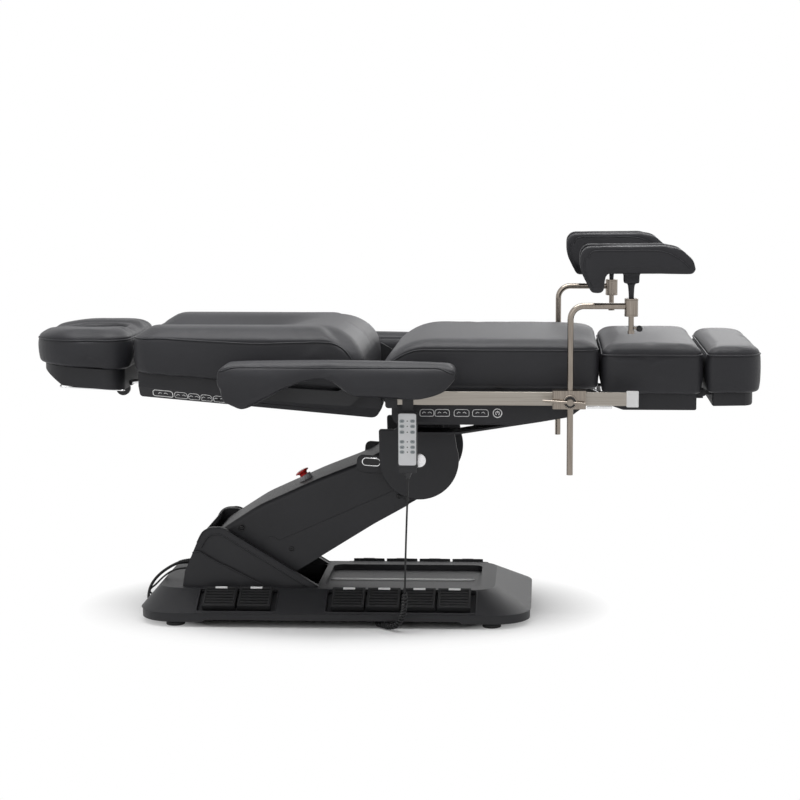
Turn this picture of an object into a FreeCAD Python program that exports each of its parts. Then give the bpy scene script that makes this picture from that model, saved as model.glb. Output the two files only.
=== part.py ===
import FreeCAD, Part
import math
import os

# Electric examination table with a lifting arm, in millimetres.
# X runs from the head end to the foot end, Y from the near side to the far side, Z up from the floor.

# Running clearances
gap = 0.3            # between moving covers, and under soft pads
pin_gap = 0.05       # round a hinge pin or a guided rod
drop_gap = 0.5       # between a pedal and its recess

# Base
base_left = -677.0
base_right = 371.0
base_half_width = 275.0
base_corner = 100.0
skirt_bottom = 14.0
rim_z = 38.0
deck_z = 87.0
deck_half_width = 184.0
deck_left_inset = 42.0
deck_right_inset = 98.0
cover_wall = 11.0
frame_bottom = 18.0
frame_rail_height = 18.0
frame_rail_width = 42.0
cavity_half_width = 172.0
cavity_top = 60.0
foot_radius = 25.0
foot_height = 10.0
foot_left = -576.0
foot_right = 267.0
foot_side = 235.0
tray_left = -188.0
tray_right = 232.0
tray_half_width = 139.0
tray_depth = 14.0
well_left = -534.0
well_right = -206.0
well_half_width = 137.0

# Pedals
pedal_pitch = 94.0
pedal_width = 87.0
pedal_length = 78.0
pedal_height = 16.0
pedal_stand = 10.0
pedal_down = 5.0        # from the deck's edge to the pedal, down the slope
pedal_pin_radius = 2.5
pedal_pin_down = 6.0
pedal_pin_out = -4.0
pedal_rib_depth = 2.5
pedal_rib_count = 6
pedal_first_right = -115.0
pedal_first_left = -458.0
pedal_first_far = -95.0
recess_depth = 13.0
recess_margin = 13.0
recess_below = 10.0

# Lift arm
pivot_low = (-415.0, 140.0)
pivot_high = (70.0, 431.0)
arm_half_width = 127.0
arm_wall = 6.0
arm_radius_low = 96.0
arm_top_low = (122.0, 114.0)    # corners of the arm's top line, along the arm and across it
arm_top_high = (300.0, 94.0)
arm_end_top = 68.0
arm_end_bottom = -80.0
arm_end_reach = 76.0
panel_raise = 2.0
beam_half_width = 94.0
beam_plate = 8.0
beam_radius_low = 46.0
beam_radius_high = 56.0
shaft_radius = 18.0
bracket_plate = 10.0
crank_radius = 60.0
crank_pin_radius = 7.0
tie_offset = (30.0, -40.0)
tie_y = 45.0
tie_thickness = 12.0
tie_pin_radius = 7.0
actuator_y = -42.0
actuator_tube_radius = 17.0
actuator_rod_radius = 9.0
stop_button_radius = 20.0
stop_button_along = 252.0

# Hood over the arm's foot
hood_half_width = 161.0
hood_wall = 19.0
hood_rim_raise = 3.0

# Head of the arm
head_radius = 106.0
head_plate = 8.0
head_cover = 14.0
head_left = -38.0
head_right = 163.0
head_top = 514.0
boss_radius = 16.0
boss_height = 5.0

# Seat
tilt_pivot = (96.0, 615.0)
tilt_shaft_radius = 14.0
seat_left = -34.0
seat_right = 546.0
seat_half_width = 300.0
seat_pad_bottom = 640.0
seat_pad_top = 770.0
seat_seam = 744.0
seat_shell_half_width = 268.0
seat_shell_bottom = 515.0
seat_shell_right = 505.0
shell_wall = 6.0
shell_bevel = 26.0
slot_half_width = 156.0
slot_right = 215.0
motor_sides = (-180.0, 0.0, 180.0)
motor_left = 290.0
motor_length = 130.0
motor_radius = 26.0
motor_z = 611.0

# Side plates, rails and caps
rail_side = 345.0
rail_thickness = 8.0
rail_bottom = 606.0
rail_height = 35.0
rail_left = 12.0
rail_right = 616.0
cap_length = 28.0
side_plate = 7.0

# Back section
back_pivot = (-88.0, 680.0)
back_pin_radius = 8.0
back_left = -673.0
back_right = -60.0
back_half_width = 300.0
back_bracket = 5.0
back_top = 794.0
back_shell_half_width = 262.0
back_shell_left = -658.0
back_shell_right = -22.0
trough_depth = 34.0
trough_round = 420.0
trough_end = -350.0
side_plate_inner = back_half_width + gap + back_bracket + gap
arm_rest_pivot = (-385.0, 634.0)
arm_rest_pin_radius = 12.0

# Armrests
arm_rest_outer = 446.0
arm_rest_width = 86.0
arm_rest_inner = arm_rest_outer - arm_rest_width
arm_rest_top = 724.0

# Headrest
head_end = -960.0
headrest_right = -698.0
headrest_half_width = 215.0
headrest_bottom_left = 690.0
headrest_bottom_right = 673.0
headrest_top = 783.0
face_hole_x = -813.0
face_hole_length = 156.0
face_hole_width = 116.0
headrest_rod_radius = 6.0
headrest_rod_side = 60.0
headrest_rod_z = 630.0
headrest_rod_end = -500.0
knob_radius = 19.0
knob_x = -735.0
knob_z = 614.0

# Leg section and foot section
leg_pivot = (534.0, 600.0)
leg_pin_radius = 9.0
leg_left = 549.0
leg_right = 814.0
leg_half_width = 290.0
leg_pad_bottom = 627.0
leg_pad_top = 761.0
leg_shell_left = 573.0
leg_shell_right = 798.0
leg_shell_bottom = 584.0
leg_shell_half_width = 255.0
slide_radius = 9.0
slide_side = 92.0
slide_z = 604.0
foot_pivot = (817.0, 626.0)
foot_pin_radius = 4.0
foot_end = 966.0
foot_pad_left = 820.0
foot_half_width = 285.0
foot_pad_top = 756.0
foot_shell_bottom = 595.0
foot_shell_right = 946.0

# Leg holders
holder_x = 469.0
far_holder_shift = -26.0
holder_side = 366.0
holder_rod_radius = 8.0
holder_rod_bottom = 430.0
holder_bend_z = 863.0
holder_bend_radius = 34.0
holder_post_x = 622.0
housing_radius = 17.3
housing_low = 837.0
housing_high = 883.0
post_height = 40.0
pad_block_height = 27.0
clamp_left = 424.0
clamp_right = 509.0
clamp_low = 601.0
clamp_high = 648.0
clamp_screw_z = 620.0
pad_half_width = 74.0
pad_bottom = housing_high + post_height + pad_block_height
pad_height = 68.0
pad_top = pad_bottom + pad_height
pad_left = 490.0
pad_right = 780.0
trough_radius = 60.0
bar_length = 110.0

# Handset and cords
handset_x = 54.0
handset_width = 50.0
handset_depth = 26.0
handset_top = 590.0
handset_bottom = 446.0
handset_lead_radius = 2.5
curl_radius = 8.5
mains_radius = 4.0
link_radius = 2.6
link_port_y = 20.0
link_port_z = 21.0
gland_left = -570.0
gland_length = 36.0
gland_depth = 4.0
floor_gap = 0.5

# Routes of the cords
mains_points = [(-566, -30, 128), (-592, -30, 128), (-623, -33, 115), (-655, -34, 93), (-679, -28, 65),
                (-691, -14, 36), (-697, 10, 12), (-700, 44, 5), (-700, 92, 4.5), (-697, 146, 4.5),
                (-688, 206, 4.5), (-656, 264, 4.5), (-604, 309, 4.5), (-536, 336, 4.5), (-468, 349, 4.5),
                (-405, 351.6, 4.5)]
coil_centre = (-405.0, 397.0)
coil_turn_radius = 45.0
link_points = [(-566, -64, 116), (-588, -64, 116), (-618, -54, 106), (-647, -40, 83.5), (-668.5, -22, 60),
               (-688, -6, 44), (-693, 5, 34), (-689, 14.5, 26), (-680, 20, 21), (-662, 20, 21)]
handset_points = [(54, -360, 417), (54, -360, 397), (51, -354, 330), (47.5, -345, 250), (45, -337, 180),
                  (43, -330, 116)]
curl_points = [(43, -330, 116), (42.5, -328, 92), (40, -323, 64), (33, -314, 38), (20, -304, 18),
               (2, -290, 9.5), (-20, -266, 9), (-40, -240, 9)]

origin = FreeCAD.Vector(0, 0, 0)
along_x = FreeCAD.Vector(1, 0, 0)
along_y = FreeCAD.Vector(0, 1, 0)
along_z = FreeCAD.Vector(0, 0, 1)


def vec(x, y, z):
    return FreeCAD.Vector(x, y, z)


def at_y(y):
    return lambda u, v: vec(u, y, v)


def at_z(z):
    return lambda u, v: vec(u, v, z)


def at_x(x):
    return lambda u, v: vec(x, u, v)


# A closed wire through corners (u, v, radius). A tangent arc rounds each corner, limited by its runs.
def rounded_wire(corners, place):
    points = [FreeCAD.Vector(c[0], c[1], 0) for c in corners]
    edges = []
    ends = []
    for i, point in enumerate(points):
        radius = corners[i][2]
        back = (points[i - 1] - point).normalize()
        ahead = (points[(i + 1) % len(points)] - point).normalize()
        if radius <= 0:
            ends.append((point, None, point))
            continue
        half = back.getAngle(ahead) / 2
        room = 0.49 * min((points[i - 1] - point).Length, (points[(i + 1) % len(points)] - point).Length)
        radius = min(radius, room * math.tan(half))
        reach = radius / math.tan(half)
        middle = (back + ahead).normalize()
        centre = point + middle * (radius / math.sin(half))
        ends.append((point + back * reach, centre - middle * radius, point + ahead * reach))
    for i, (start, middle, end) in enumerate(ends):
        if middle is not None:
            arc_points = [place(p.x, p.y) for p in (start, middle, end)]
            edges.append(Part.Arc(*arc_points).toShape())
        following = ends[(i + 1) % len(ends)][0]
        if (following - end).Length > 0.001:
            edges.append(Part.LineSegment(place(end.x, end.y), place(following.x, following.y)).toShape())
    return Part.Wire(edges)


def prism(wire, run):
    return Part.Face(wire).extrude(run)


def side_slab(corners, y_from, y_to):
    return prism(rounded_wire(corners, at_y(y_from)), vec(0, y_to - y_from, 0))


def plan_slab(corners, z_from, z_to):
    return prism(rounded_wire(corners, at_z(z_from)), vec(0, 0, z_to - z_from))


def end_slab(corners, x_from, x_to):
    return prism(rounded_wire(corners, at_x(x_from)), vec(x_to - x_from, 0, 0))


def rectangle(u_from, v_from, u_to, v_to, radius=0.0):
    return [(u_from, v_from, radius), (u_to, v_from, radius), (u_to, v_to, radius), (u_from, v_to, radius)]


def box(x_from, y_from, z_from, x_to, y_to, z_to):
    return Part.makeBox(x_to - x_from, y_to - y_from, z_to - z_from, vec(x_from, y_from, z_from))


def cylinder(start, direction, radius, length):
    return Part.makeCylinder(radius, length, start, direction)


def cross_shaft(place, radius, y_from, y_to):
    return cylinder(vec(place[0], y_from, place[1]), along_y, radius, y_to - y_from)


def mirrored(shape):
    return shape.mirror(origin, along_y)


def both_sides(shape):
    return [shape, mirrored(shape)]


def joined(shapes):
    whole = shapes[0]
    if len(shapes) > 1:
        whole = shapes[0].fuse(shapes[1:])
    return whole.removeSplitter()


def cut(shape, tools):
    return shape.cut(tools)


def save(name, shapes):
    whole = shapes[0] if len(shapes) == 1 else Part.makeCompound(shapes)
    solids = whole.Solids
    good = all(solid.isValid() and solid.Volume > 0 for solid in solids)
    volume = sum(solid.Volume for solid in solids) / 1000
    print(name, len(solids), "solids", round(volume, 1), "cm3", "good" if good else "BAD")
    Part.makeCompound(solids).exportStep("parts/" + name + ".step")


# Directions of the lift arm, from its lower pivot to its upper one
arm_run = FreeCAD.Vector(pivot_high[0] - pivot_low[0], pivot_high[1] - pivot_low[1], 0)
arm_length = arm_run.Length
arm_angle = math.atan2(arm_run.y, arm_run.x)


# A point given along the arm and across it, as X and Z at rest
def on_arm(along, across):
    x = pivot_low[0] + along * math.cos(arm_angle) - across * math.sin(arm_angle)
    z = pivot_low[1] + along * math.sin(arm_angle) + across * math.cos(arm_angle)
    return x, z


def arm_corners(corners):
    return [on_arm(along, across) + (radius,) for along, across, radius in corners]


# The outline round two pivots: a rounded end at each, joined by straight flanks
def link_slab(place_low, place_high, radius_low, radius_high, y_from, y_to):
    run = FreeCAD.Vector(place_high[0] - place_low[0], place_high[1] - place_low[1], 0)
    angle = math.atan2(run.y, run.x)
    lean = math.asin((radius_low - radius_high) / run.Length)
    points = []
    for place, radius, first, last in (
            (place_low, radius_low, angle + math.pi / 2 - lean, angle + math.pi * 1.5 + lean),
            (place_high, radius_high, angle - math.pi / 2 + lean, angle + math.pi / 2 - lean)):
        steps = (first, (first + last) / 2, last)
        points.append([vec(place[0] + radius * math.cos(a), y_from, place[1] + radius * math.sin(a))
                       for a in steps])
    edges = [Part.Arc(*points[0]).toShape(), Part.LineSegment(points[0][2], points[1][0]).toShape(),
             Part.Arc(*points[1]).toShape(), Part.LineSegment(points[1][2], points[0][0]).toShape()]
    return prism(Part.Wire(edges), vec(0, y_to - y_from, 0))


# Base

def base_plan(inset_left, inset_right, inset_side, radius):
    return rectangle(base_left + inset_left, -base_half_width + inset_side,
                     base_right - inset_right, base_half_width - inset_side, radius)


slope_run = base_half_width - deck_half_width
slope_rise = deck_z - rim_z
slope_angle = math.degrees(math.atan2(slope_rise, slope_run))


# A box lying on the near slope of the base: down from the deck's edge and out from the slope's face
def slope_box(x_from, x_to, down_from, down_to, out_from, out_to):
    lying = box(x_from, -down_to, out_from, x_to, -down_from, out_to)
    lying.rotate(origin, along_x, slope_angle)
    lying.translate(vec(0, -deck_half_width, deck_z))
    return lying


# A round bar on the pedals' hinge line, along the near slope
def slope_pin(x_from, x_to, radius):
    lying = cylinder(vec(x_from, -pedal_pin_down, pedal_pin_out), along_x, radius, x_to - x_from)
    lying.rotate(origin, along_x, slope_angle)
    lying.translate(vec(0, -deck_half_width, deck_z))
    return lying


def recess(first, count):
    reach = pedal_width / 2 + recess_margin
    last = first + (count - 1) * pedal_pitch
    pocket = slope_box(first - reach, last + reach, pedal_down - drop_gap,
                       pedal_down + pedal_length + recess_below, -recess_depth, recess_depth)
    groove = slope_pin(first - reach, last + reach, pedal_pin_radius + pin_gap)
    return joined([pocket, groove])


def make_base_cover():
    low = rounded_wire(base_plan(0, 0, 0, base_corner), at_z(rim_z))
    deck_plan = base_plan(deck_left_inset, deck_right_inset, slope_run, base_corner * 0.6)
    high = rounded_wire(deck_plan, at_z(deck_z))
    hull = Part.makeLoft([low, high], True, True)
    skirt_inset = 3.0
    skirt_plan = base_plan(skirt_inset, skirt_inset, skirt_inset, base_corner - skirt_inset)
    skirt = plan_slab(skirt_plan, skirt_bottom, rim_z)
    cover = joined([hull, skirt])
    arch = [(foot_left + 60, 0, 0), (foot_right - 60, 0, 0), (foot_right - 85, skirt_bottom + 6, 12),
            (foot_left + 85, skirt_bottom + 6, 12)]
    hollow_low = plan_slab(base_plan(cover_wall, cover_wall, cover_wall, base_corner - cover_wall),
                           skirt_bottom - 1, frame_bottom + 9)
    hollow_high = plan_slab(rectangle(-600, -cavity_half_width, 268, cavity_half_width, 4),
                            skirt_bottom, cavity_top)
    tray = plan_slab(rectangle(tray_left, -tray_half_width, tray_right, tray_half_width, 26),
                     deck_z - tray_depth, deck_z + 20)
    well = plan_slab(rectangle(well_left, -well_half_width, well_right, well_half_width, 20), 0, deck_z + 20)
    arch_cut = side_slab(arch, -base_half_width - 5, base_half_width + 5)
    link_port = cylinder(vec(base_left - 5, link_port_y, link_port_z), along_x, link_radius + gap, 30)
    near_right = recess(pedal_first_right, 4)
    near_left = recess(pedal_first_left, 2)
    far = mirrored(recess(pedal_first_far, 4))
    return cut(cover, [hollow_low, hollow_high, tray, well, arch_cut, link_port, near_right, near_left, far])


def make_base_frame():
    top = frame_bottom + frame_rail_height
    rail_outer = cavity_half_width - gap
    rail = box(-594, rail_outer - frame_rail_width, frame_bottom, 262, rail_outer, top)
    pieces = both_sides(rail)
    for x_from, x_to in ((-594, -544), (-300, -262), (222, 262)):
        pieces.append(box(x_from, -rail_outer + 10, frame_bottom, x_to, rail_outer - 10, top))
    pieces.append(box(-520, -rail_outer + 10, frame_bottom + 8, -300, rail_outer - 10, top))
    for x in (foot_left, foot_right - 20):
        tab = box(x - 26, rail_outer - 12, frame_bottom, x + 46, foot_side + 20, frame_bottom + 8)
        pieces += both_sides(tab)
    return joined(pieces)


def make_feet():
    feet = []
    for x in (foot_left, foot_right):
        for side in (-1, 1):
            disc = cylinder(vec(x, side * foot_side, 0), along_z, foot_radius, foot_height)
            disc = disc.makeFillet(2.0, disc.Edges)
            stem_low = foot_height - 3
            stem = cylinder(vec(x, side * foot_side, stem_low), along_z, 7, frame_bottom - stem_low)
            feet.append(joined([disc, stem]))
    return feet


# The tie rod's pin beside one of the arm's pivots
def tie_place(pivot):
    return pivot[0] + tie_offset[0], pivot[1] + tie_offset[1]


def crank_pin():
    middle = arm_angle + math.radians(6)
    return (pivot_low[0] + crank_radius * math.sin(middle), pivot_low[1] - crank_radius * math.cos(middle))


# Steel cheeks that carry the arm, the fixed ends of the tie rod and of the lift drive
def make_arm_bracket():
    plate_bottom = frame_bottom + frame_rail_height
    outline = [(pivot_low[0] - 78, plate_bottom, 0), (pivot_low[0] + 92, plate_bottom, 0),
               (pivot_low[0] + 50, pivot_low[1] + 34, 34), (pivot_low[0] - 44, pivot_low[1] + 34, 34)]
    y_from = beam_half_width + gap
    cheek = side_slab(outline, y_from, y_from + bracket_plate)
    pieces = both_sides(cheek)
    pieces.append(cross_shaft(pivot_low, shaft_radius, -y_from - bracket_plate, y_from + bracket_plate))
    places = ((tie_place(pivot_low), tie_pin_radius, tie_y, tie_thickness / 2),
              (crank_pin(), crank_pin_radius, actuator_y, actuator_rod_radius))
    for place, pin_radius, y, clear in places:
        lug = [(place[0] - 34, plate_bottom, 0), (place[0] + 30, plate_bottom, 0),
               (place[0] + 13, place[1] + 13, 12), (place[0] - 13, place[1] + 13, 12)]
        lug_y = y + clear + gap
        pieces.append(side_slab(lug, lug_y, lug_y + bracket_plate))
        pieces.append(cross_shaft(place, pin_radius, y - tie_thickness / 2, lug_y + bracket_plate))
    return joined(pieces)


# Hood: two cheeks and a back wall round the arm's foot, with a raised rim and a flared lower part
def make_hood():
    seat_z = deck_z
    outline = [(-568, seat_z, 0), (-562, 128, 60), (-530, 204, 60), (-503, 246, 30), (-460, 246, 40),
               (-203, seat_z, 0)]
    band = [(-530, 204, 0), (-503, 246, 30), (-460, 246, 40), (-203, seat_z, 0), (-232, seat_z, 0),
            (-466, 230, 30), (-494, 228, 22), (-518, 190, 0)]
    flare = [(-568, seat_z, 0), (-562, 128, 60), (-538, 180, 0), (-522, 182, 8), (-492, 162, 20),
             (-426, 130, 30), (-345, seat_z, 0)]
    half = hood_half_width - hood_rim_raise
    body = side_slab(outline, -half, half)
    inner = [(-556, 0, 0), (-550, 126, 60), (-524, 190, 54), (-504, 225, 10), (-501, 270, 0), (-100, 270, 0),
             (-100, 0, 0)]
    void = side_slab(inner, -half + hood_wall, half - hood_wall)
    bands = both_sides(side_slab(band, half - 6, hood_half_width))
    flares = both_sides(side_slab(flare, half - 6, hood_half_width + 3))
    hood = joined([body] + bands + flares)
    hood = cut(hood, [void])
    glands = []
    for start, radius in ((mains_points[0], mains_radius), (link_points[0], link_radius)):
        _, y, z = start
        stem = cylinder(vec(gland_left, y, z), along_x, radius + 5, gland_length)
        bore = cylinder(vec(gland_left - 1, y, z), along_x, radius, gland_depth + 1)
        glands.append(cut(stem, [bore]))
    hood = joined([hood] + glands)
    return hood


# Pedals

def make_pedal(x):
    start = x - pedal_width / 2
    body = slope_box(start, start + pedal_width, pedal_down, pedal_down + pedal_length,
                     pedal_stand - pedal_height, pedal_stand)
    body = joined([body, slope_pin(start - 3, start + pedal_width + 3, pedal_pin_radius)])
    grooves = []
    pitch = pedal_length / (pedal_rib_count + 1)
    for i in range(pedal_rib_count):
        down = pedal_down + (i + 1) * pitch
        grooves.append(slope_box(start + 5, start + pedal_width - 5, down - 1.6, down + 1.6,
                                 pedal_stand - pedal_rib_depth, pedal_stand + 1))
    return cut(body, grooves)


def make_pedals():
    rows = {"pedal_near": [(pedal_first_left, 2), (pedal_first_right, 4)],
            "pedal_far": [(pedal_first_far, 4)]}
    pedals = {}
    for row, groups in rows.items():
        number = 0
        for first, count in groups:
            for i in range(count):
                number += 1
                pedal = make_pedal(first + i * pedal_pitch)
                pedals[row + "_" + str(number)] = mirrored(pedal) if row == "pedal_far" else pedal
    return pedals


# Lift arm

def make_arm_beam():
    pieces = []
    for side in (-1, 1):
        inner = beam_half_width - beam_plate
        y_from, y_to = sorted((side * inner, side * beam_half_width))
        plate = link_slab(pivot_low, pivot_high, beam_radius_low, beam_radius_high, y_from, y_to)
        pieces.append(plate)
    inner = beam_half_width - beam_plate + 1
    for along, across in ((150, 26), (330, 30)):
        pieces.append(cross_shaft(on_arm(along, across), 14, -inner, inner))
    for along, across in ((120, 84), (430, 50)):
        x, z = on_arm(along, across)
        foot = link_slab(on_arm(along, 30), (x, z), 16, 12, beam_half_width - beam_plate, beam_half_width)
        pieces += both_sides(foot)
    beam = joined(pieces)
    bores = [cross_shaft(place, shaft_radius + pin_gap, -arm_half_width, arm_half_width)
             for place in (pivot_low, pivot_high)]
    return cut(beam, bores)


# The arm's side outline: round about its lower pivot, with a top that bulges and a round upper end
def arm_outline(y_from, y_to):
    low = arm_radius_low
    end = arm_length + arm_end_reach
    corners = [(-low, 106, 102), arm_top_low + (300,), arm_top_high + (900,), (430, 72, 500),
               (end, arm_end_top, 80), (end, arm_end_bottom, 80), (500, -92, 200), (368, -88, 300),
               (200, -91, 300), (-low, -low, low)]
    return side_slab(arm_corners(corners), y_from, y_to)


def make_arm_cover():
    body = arm_outline(-arm_half_width + panel_raise, arm_half_width - panel_raise)
    ridge = 14.0
    edges = [e for e in body.Edges if abs(e.Vertexes[0].Y - e.Vertexes[-1].Y) < 0.1]
    body = body.makeFillet(ridge, edges)
    panel = side_slab(arm_corners([(78, -110, 0), (78, 24, 16), (112, 26, 12), (124, 3, 8), (470, -39, 0),
                                   (478, -110, 0)]), arm_half_width - 8, arm_half_width)
    panel = panel.common(arm_outline(0, arm_half_width))
    cover = joined([body] + both_sides(panel))
    inner = arm_half_width - arm_wall
    low_end = -arm_radius_low - 60
    void = side_slab(arm_corners([(low_end, -160, 0), (low_end, 110, 0), (-48, 110, 0), (-40, 78, 8),
                                  (0, 96, 40), (arm_top_low[0], arm_top_low[1] - 9, 300),
                                  (arm_top_high[0], arm_top_high[1] - 7, 600), (430, 65, 300),
                                  (arm_length, arm_end_top - arm_wall, 0),
                                  (arm_length, arm_end_bottom + 8, 0), (500, -84, 0), (200, -84, 0),
                                  (200, -160, 0)]), -inner, inner)
    end_void = cross_shaft(on_arm(arm_length + 3.5, -6), 66.0, -inner, inner)
    bores = [cross_shaft(pivot_high, shaft_radius + pin_gap, -arm_half_width - 5, arm_half_width + 5)]
    vent_x, vent_z = on_arm(arm_length - 118, 46)
    vent = link_slab((vent_x - 13, vent_z - 8), (vent_x + 13, vent_z + 8), 9.5, 9.4,
                     -arm_half_width - 5, -inner + 2)
    cover = cut(cover, [void, end_void] + bores + both_sides(vent))
    collar = stop_axis_cylinder(18, -4, 12)
    collar = cut(collar, [stop_axis_cylinder(12, -30, 60)])
    hole = stop_axis_cylinder(12, -30, 60)
    return joined([cut(cover, [hole]), collar])


# A cylinder on the axis of the stop button, from one height above the arm's top face to another
def stop_axis_cylinder(radius, low, high):
    share = (stop_button_along - arm_top_low[0]) / (arm_top_high[0] - arm_top_low[0])
    face = arm_top_low[1] + share * (arm_top_high[1] - arm_top_low[1])
    x, z = on_arm(stop_button_along, face + low)
    out = vec(-math.sin(arm_angle), 0, math.cos(arm_angle))
    return cylinder(vec(x, 0, z), out, radius, high - low)


def make_stop_button():
    cap = stop_axis_cylinder(stop_button_radius, 18, 29)
    cap = cap.makeFillet(4.0, [cap.Edges[0], cap.Edges[2]])
    stem = stop_axis_cylinder(12 - pin_gap, -9, 18)
    return joined([cap, stem])


def drive_axis_point(along):
    return on_arm(along, -crank_radius * 0.952)


# Lift drive: motor, gearbox and guide tube fixed on the arm. Its rod's slotted eye rides on the crank pin.
def make_lift_motor():
    out = vec(math.cos(arm_angle), 0, math.sin(arm_angle))
    x, z = drive_axis_point(130)
    tube = cylinder(vec(x, actuator_y, z), out, actuator_tube_radius, 190)
    x2, z2 = drive_axis_point(300)
    gearbox = cylinder(vec(x2, actuator_y, z2), out, 22, 60)
    x3, z3 = on_arm(290, -12)
    motor = cylinder(vec(x3, actuator_y, z3), out, 24, 120)
    bracket = link_slab(on_arm(330, 30), on_arm(330, -56), 13, 13, actuator_y - 5, actuator_y + 5)
    body = joined([tube, gearbox, motor, bracket])
    bore = cylinder(vec(x - 4 * out.x, actuator_y, z - 4 * out.z), out, actuator_rod_radius + pin_gap, 170)
    across = cross_shaft(on_arm(330, 30), 14 + pin_gap, actuator_y - 8, actuator_y + 8)
    return cut(body, [bore, across])


def make_lift_rod():
    out = vec(math.cos(arm_angle), 0, math.sin(arm_angle))
    x, z = drive_axis_point(15)
    rod = cylinder(vec(x, actuator_y, z), out, actuator_rod_radius, 235)
    slot_half = 5.0
    pin = crank_pin()
    out_n = (-math.sin(arm_angle), math.cos(arm_angle))
    top = (pin[0] + out_n[0] * slot_half, pin[1] + out_n[1] * slot_half)
    low = (pin[0] - out_n[0] * slot_half * 0.5, pin[1] - out_n[1] * slot_half * 0.5)
    eye = link_slab(low, top, crank_pin_radius + 7, crank_pin_radius + 6.9,
                    actuator_y - tie_thickness / 2, actuator_y + tie_thickness / 2)
    slot = link_slab(low, top, crank_pin_radius + 2.5, crank_pin_radius + 2.4,
                     actuator_y - 20, actuator_y + 20)
    return cut(joined([rod, eye]), [slot])


def make_tie_rod():
    low = tie_place(pivot_low)
    high = tie_place(pivot_high)
    y_from = tie_y - tie_thickness / 2
    y_to = tie_y + tie_thickness / 2
    bar = link_slab(low, high, 12, 11.9, y_from + 1, y_to - 1)
    eyes = [cross_shaft(place, 15, y_from, y_to) for place in (low, high)]
    bores = [cross_shaft(place, tie_pin_radius + pin_gap, y_from - 5, y_to + 5) for place in (low, high)]
    return cut(joined([bar] + eyes), bores)


# Head of the arm

def make_head_block():
    y_from = arm_half_width + 1.5
    y_to = y_from + head_plate
    neck = tilt_shaft_radius + 6
    outline = [(pivot_high[0] - 70, pivot_high[1] - 40, 40), (pivot_high[0] + 66, pivot_high[1] - 40, 40),
               (pivot_high[0] + 66, head_top - 2, 20), (tilt_pivot[0] + neck, tilt_pivot[1] + neck, neck),
               (tilt_pivot[0] - neck, tilt_pivot[1] + neck, neck), (pivot_high[0] - 70, head_top - 30, 20)]
    plates = both_sides(side_slab(outline, y_from, y_to))
    bridge = box(pivot_high[0] - 50, -y_from - 1, head_top + 2, pivot_high[0] + 50, y_from + 1, head_top + 12)
    block = joined(plates + [bridge])
    bores = [cross_shaft(pivot_high, shaft_radius, -y_to - 5, y_to + 5),
             cross_shaft(tilt_pivot, tilt_shaft_radius + pin_gap, -y_to - 5, y_to + 5)]
    return cut(block, bores)


def make_head_covers():
    y_from = arm_half_width + 1.5 + head_plate
    y_to = y_from + head_cover
    disc = cross_shaft(pivot_high, head_radius, y_from, y_to)
    upper = side_slab([(pivot_high[0] - head_radius, pivot_high[1], 0),
                       (pivot_high[0] + head_radius, pivot_high[1], 0),
                       (head_right, head_top, 6), (head_left, head_top, 6)], y_from, y_to)
    cover = joined([disc, upper])
    rim = [e for e in cover.Edges if abs(e.Vertexes[0].Y - y_to) < 0.1 and abs(e.Vertexes[-1].Y - y_to) < 0.1
           and e.BoundBox.ZMin < head_top - 1]
    cover = cover.makeFillet(3.0, rim)
    cover = cut(cover, [cross_shaft(pivot_high, shaft_radius, y_from - 1, y_to + 1)])
    return both_sides(cover)


def make_levelling_shaft():
    end = arm_half_width + 1.5 + head_plate + head_cover
    shaft = cross_shaft(pivot_high, shaft_radius, -end, end)
    bosses = both_sides(cross_shaft(pivot_high, boss_radius, end, end + boss_height))
    y_from = tie_y + tie_thickness / 2 + gap
    low = tie_place(pivot_high)
    lever = link_slab(low, pivot_high, 14, 26, y_from, y_from + 10)
    pin = cross_shaft(low, tie_pin_radius, tie_y - tie_thickness / 2, y_from + 2)
    return joined([shaft] + bosses + [lever, pin])


# Seat

def seat_profile(inset):
    return [(6 + inset, seat_pad_bottom, 0), (6 + inset, 560 + inset, 26),
            (44, seat_shell_bottom + inset, 60), (178, seat_shell_bottom + inset, 120),
            (470 - inset / 2, 566 + inset, 30), (seat_shell_right - inset, 592, 12),
            (seat_shell_right - inset, seat_pad_bottom, 0)]


def make_seat_shell():
    body = side_slab(seat_profile(0), -seat_shell_half_width, seat_shell_half_width)
    low = seat_shell_bottom
    side_cut = [(-seat_shell_half_width - 1, low - 30, 0), (-seat_shell_half_width + shell_bevel, low - 1, 0),
                (-seat_shell_half_width - 1, low + shell_bevel * 1.5, 0)]
    wedges = both_sides(end_slab(side_cut, -20, 600))
    inner_half = seat_shell_half_width - shell_wall
    hollow = side_slab(seat_profile(shell_wall), -inner_half, inner_half)
    slot = plan_slab(rectangle(-20, -slot_half_width, slot_right, slot_half_width, 0), 500, 600)
    notch = box(seat_shell_right - shell_wall - 1, slide_side + 14, leg_pivot[1] - 10,
                seat_shell_right + 1, slide_side + 28, seat_pad_bottom + 1)
    return cut(cut(body, [hollow]), wedges + [slot] + both_sides(notch))


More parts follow.
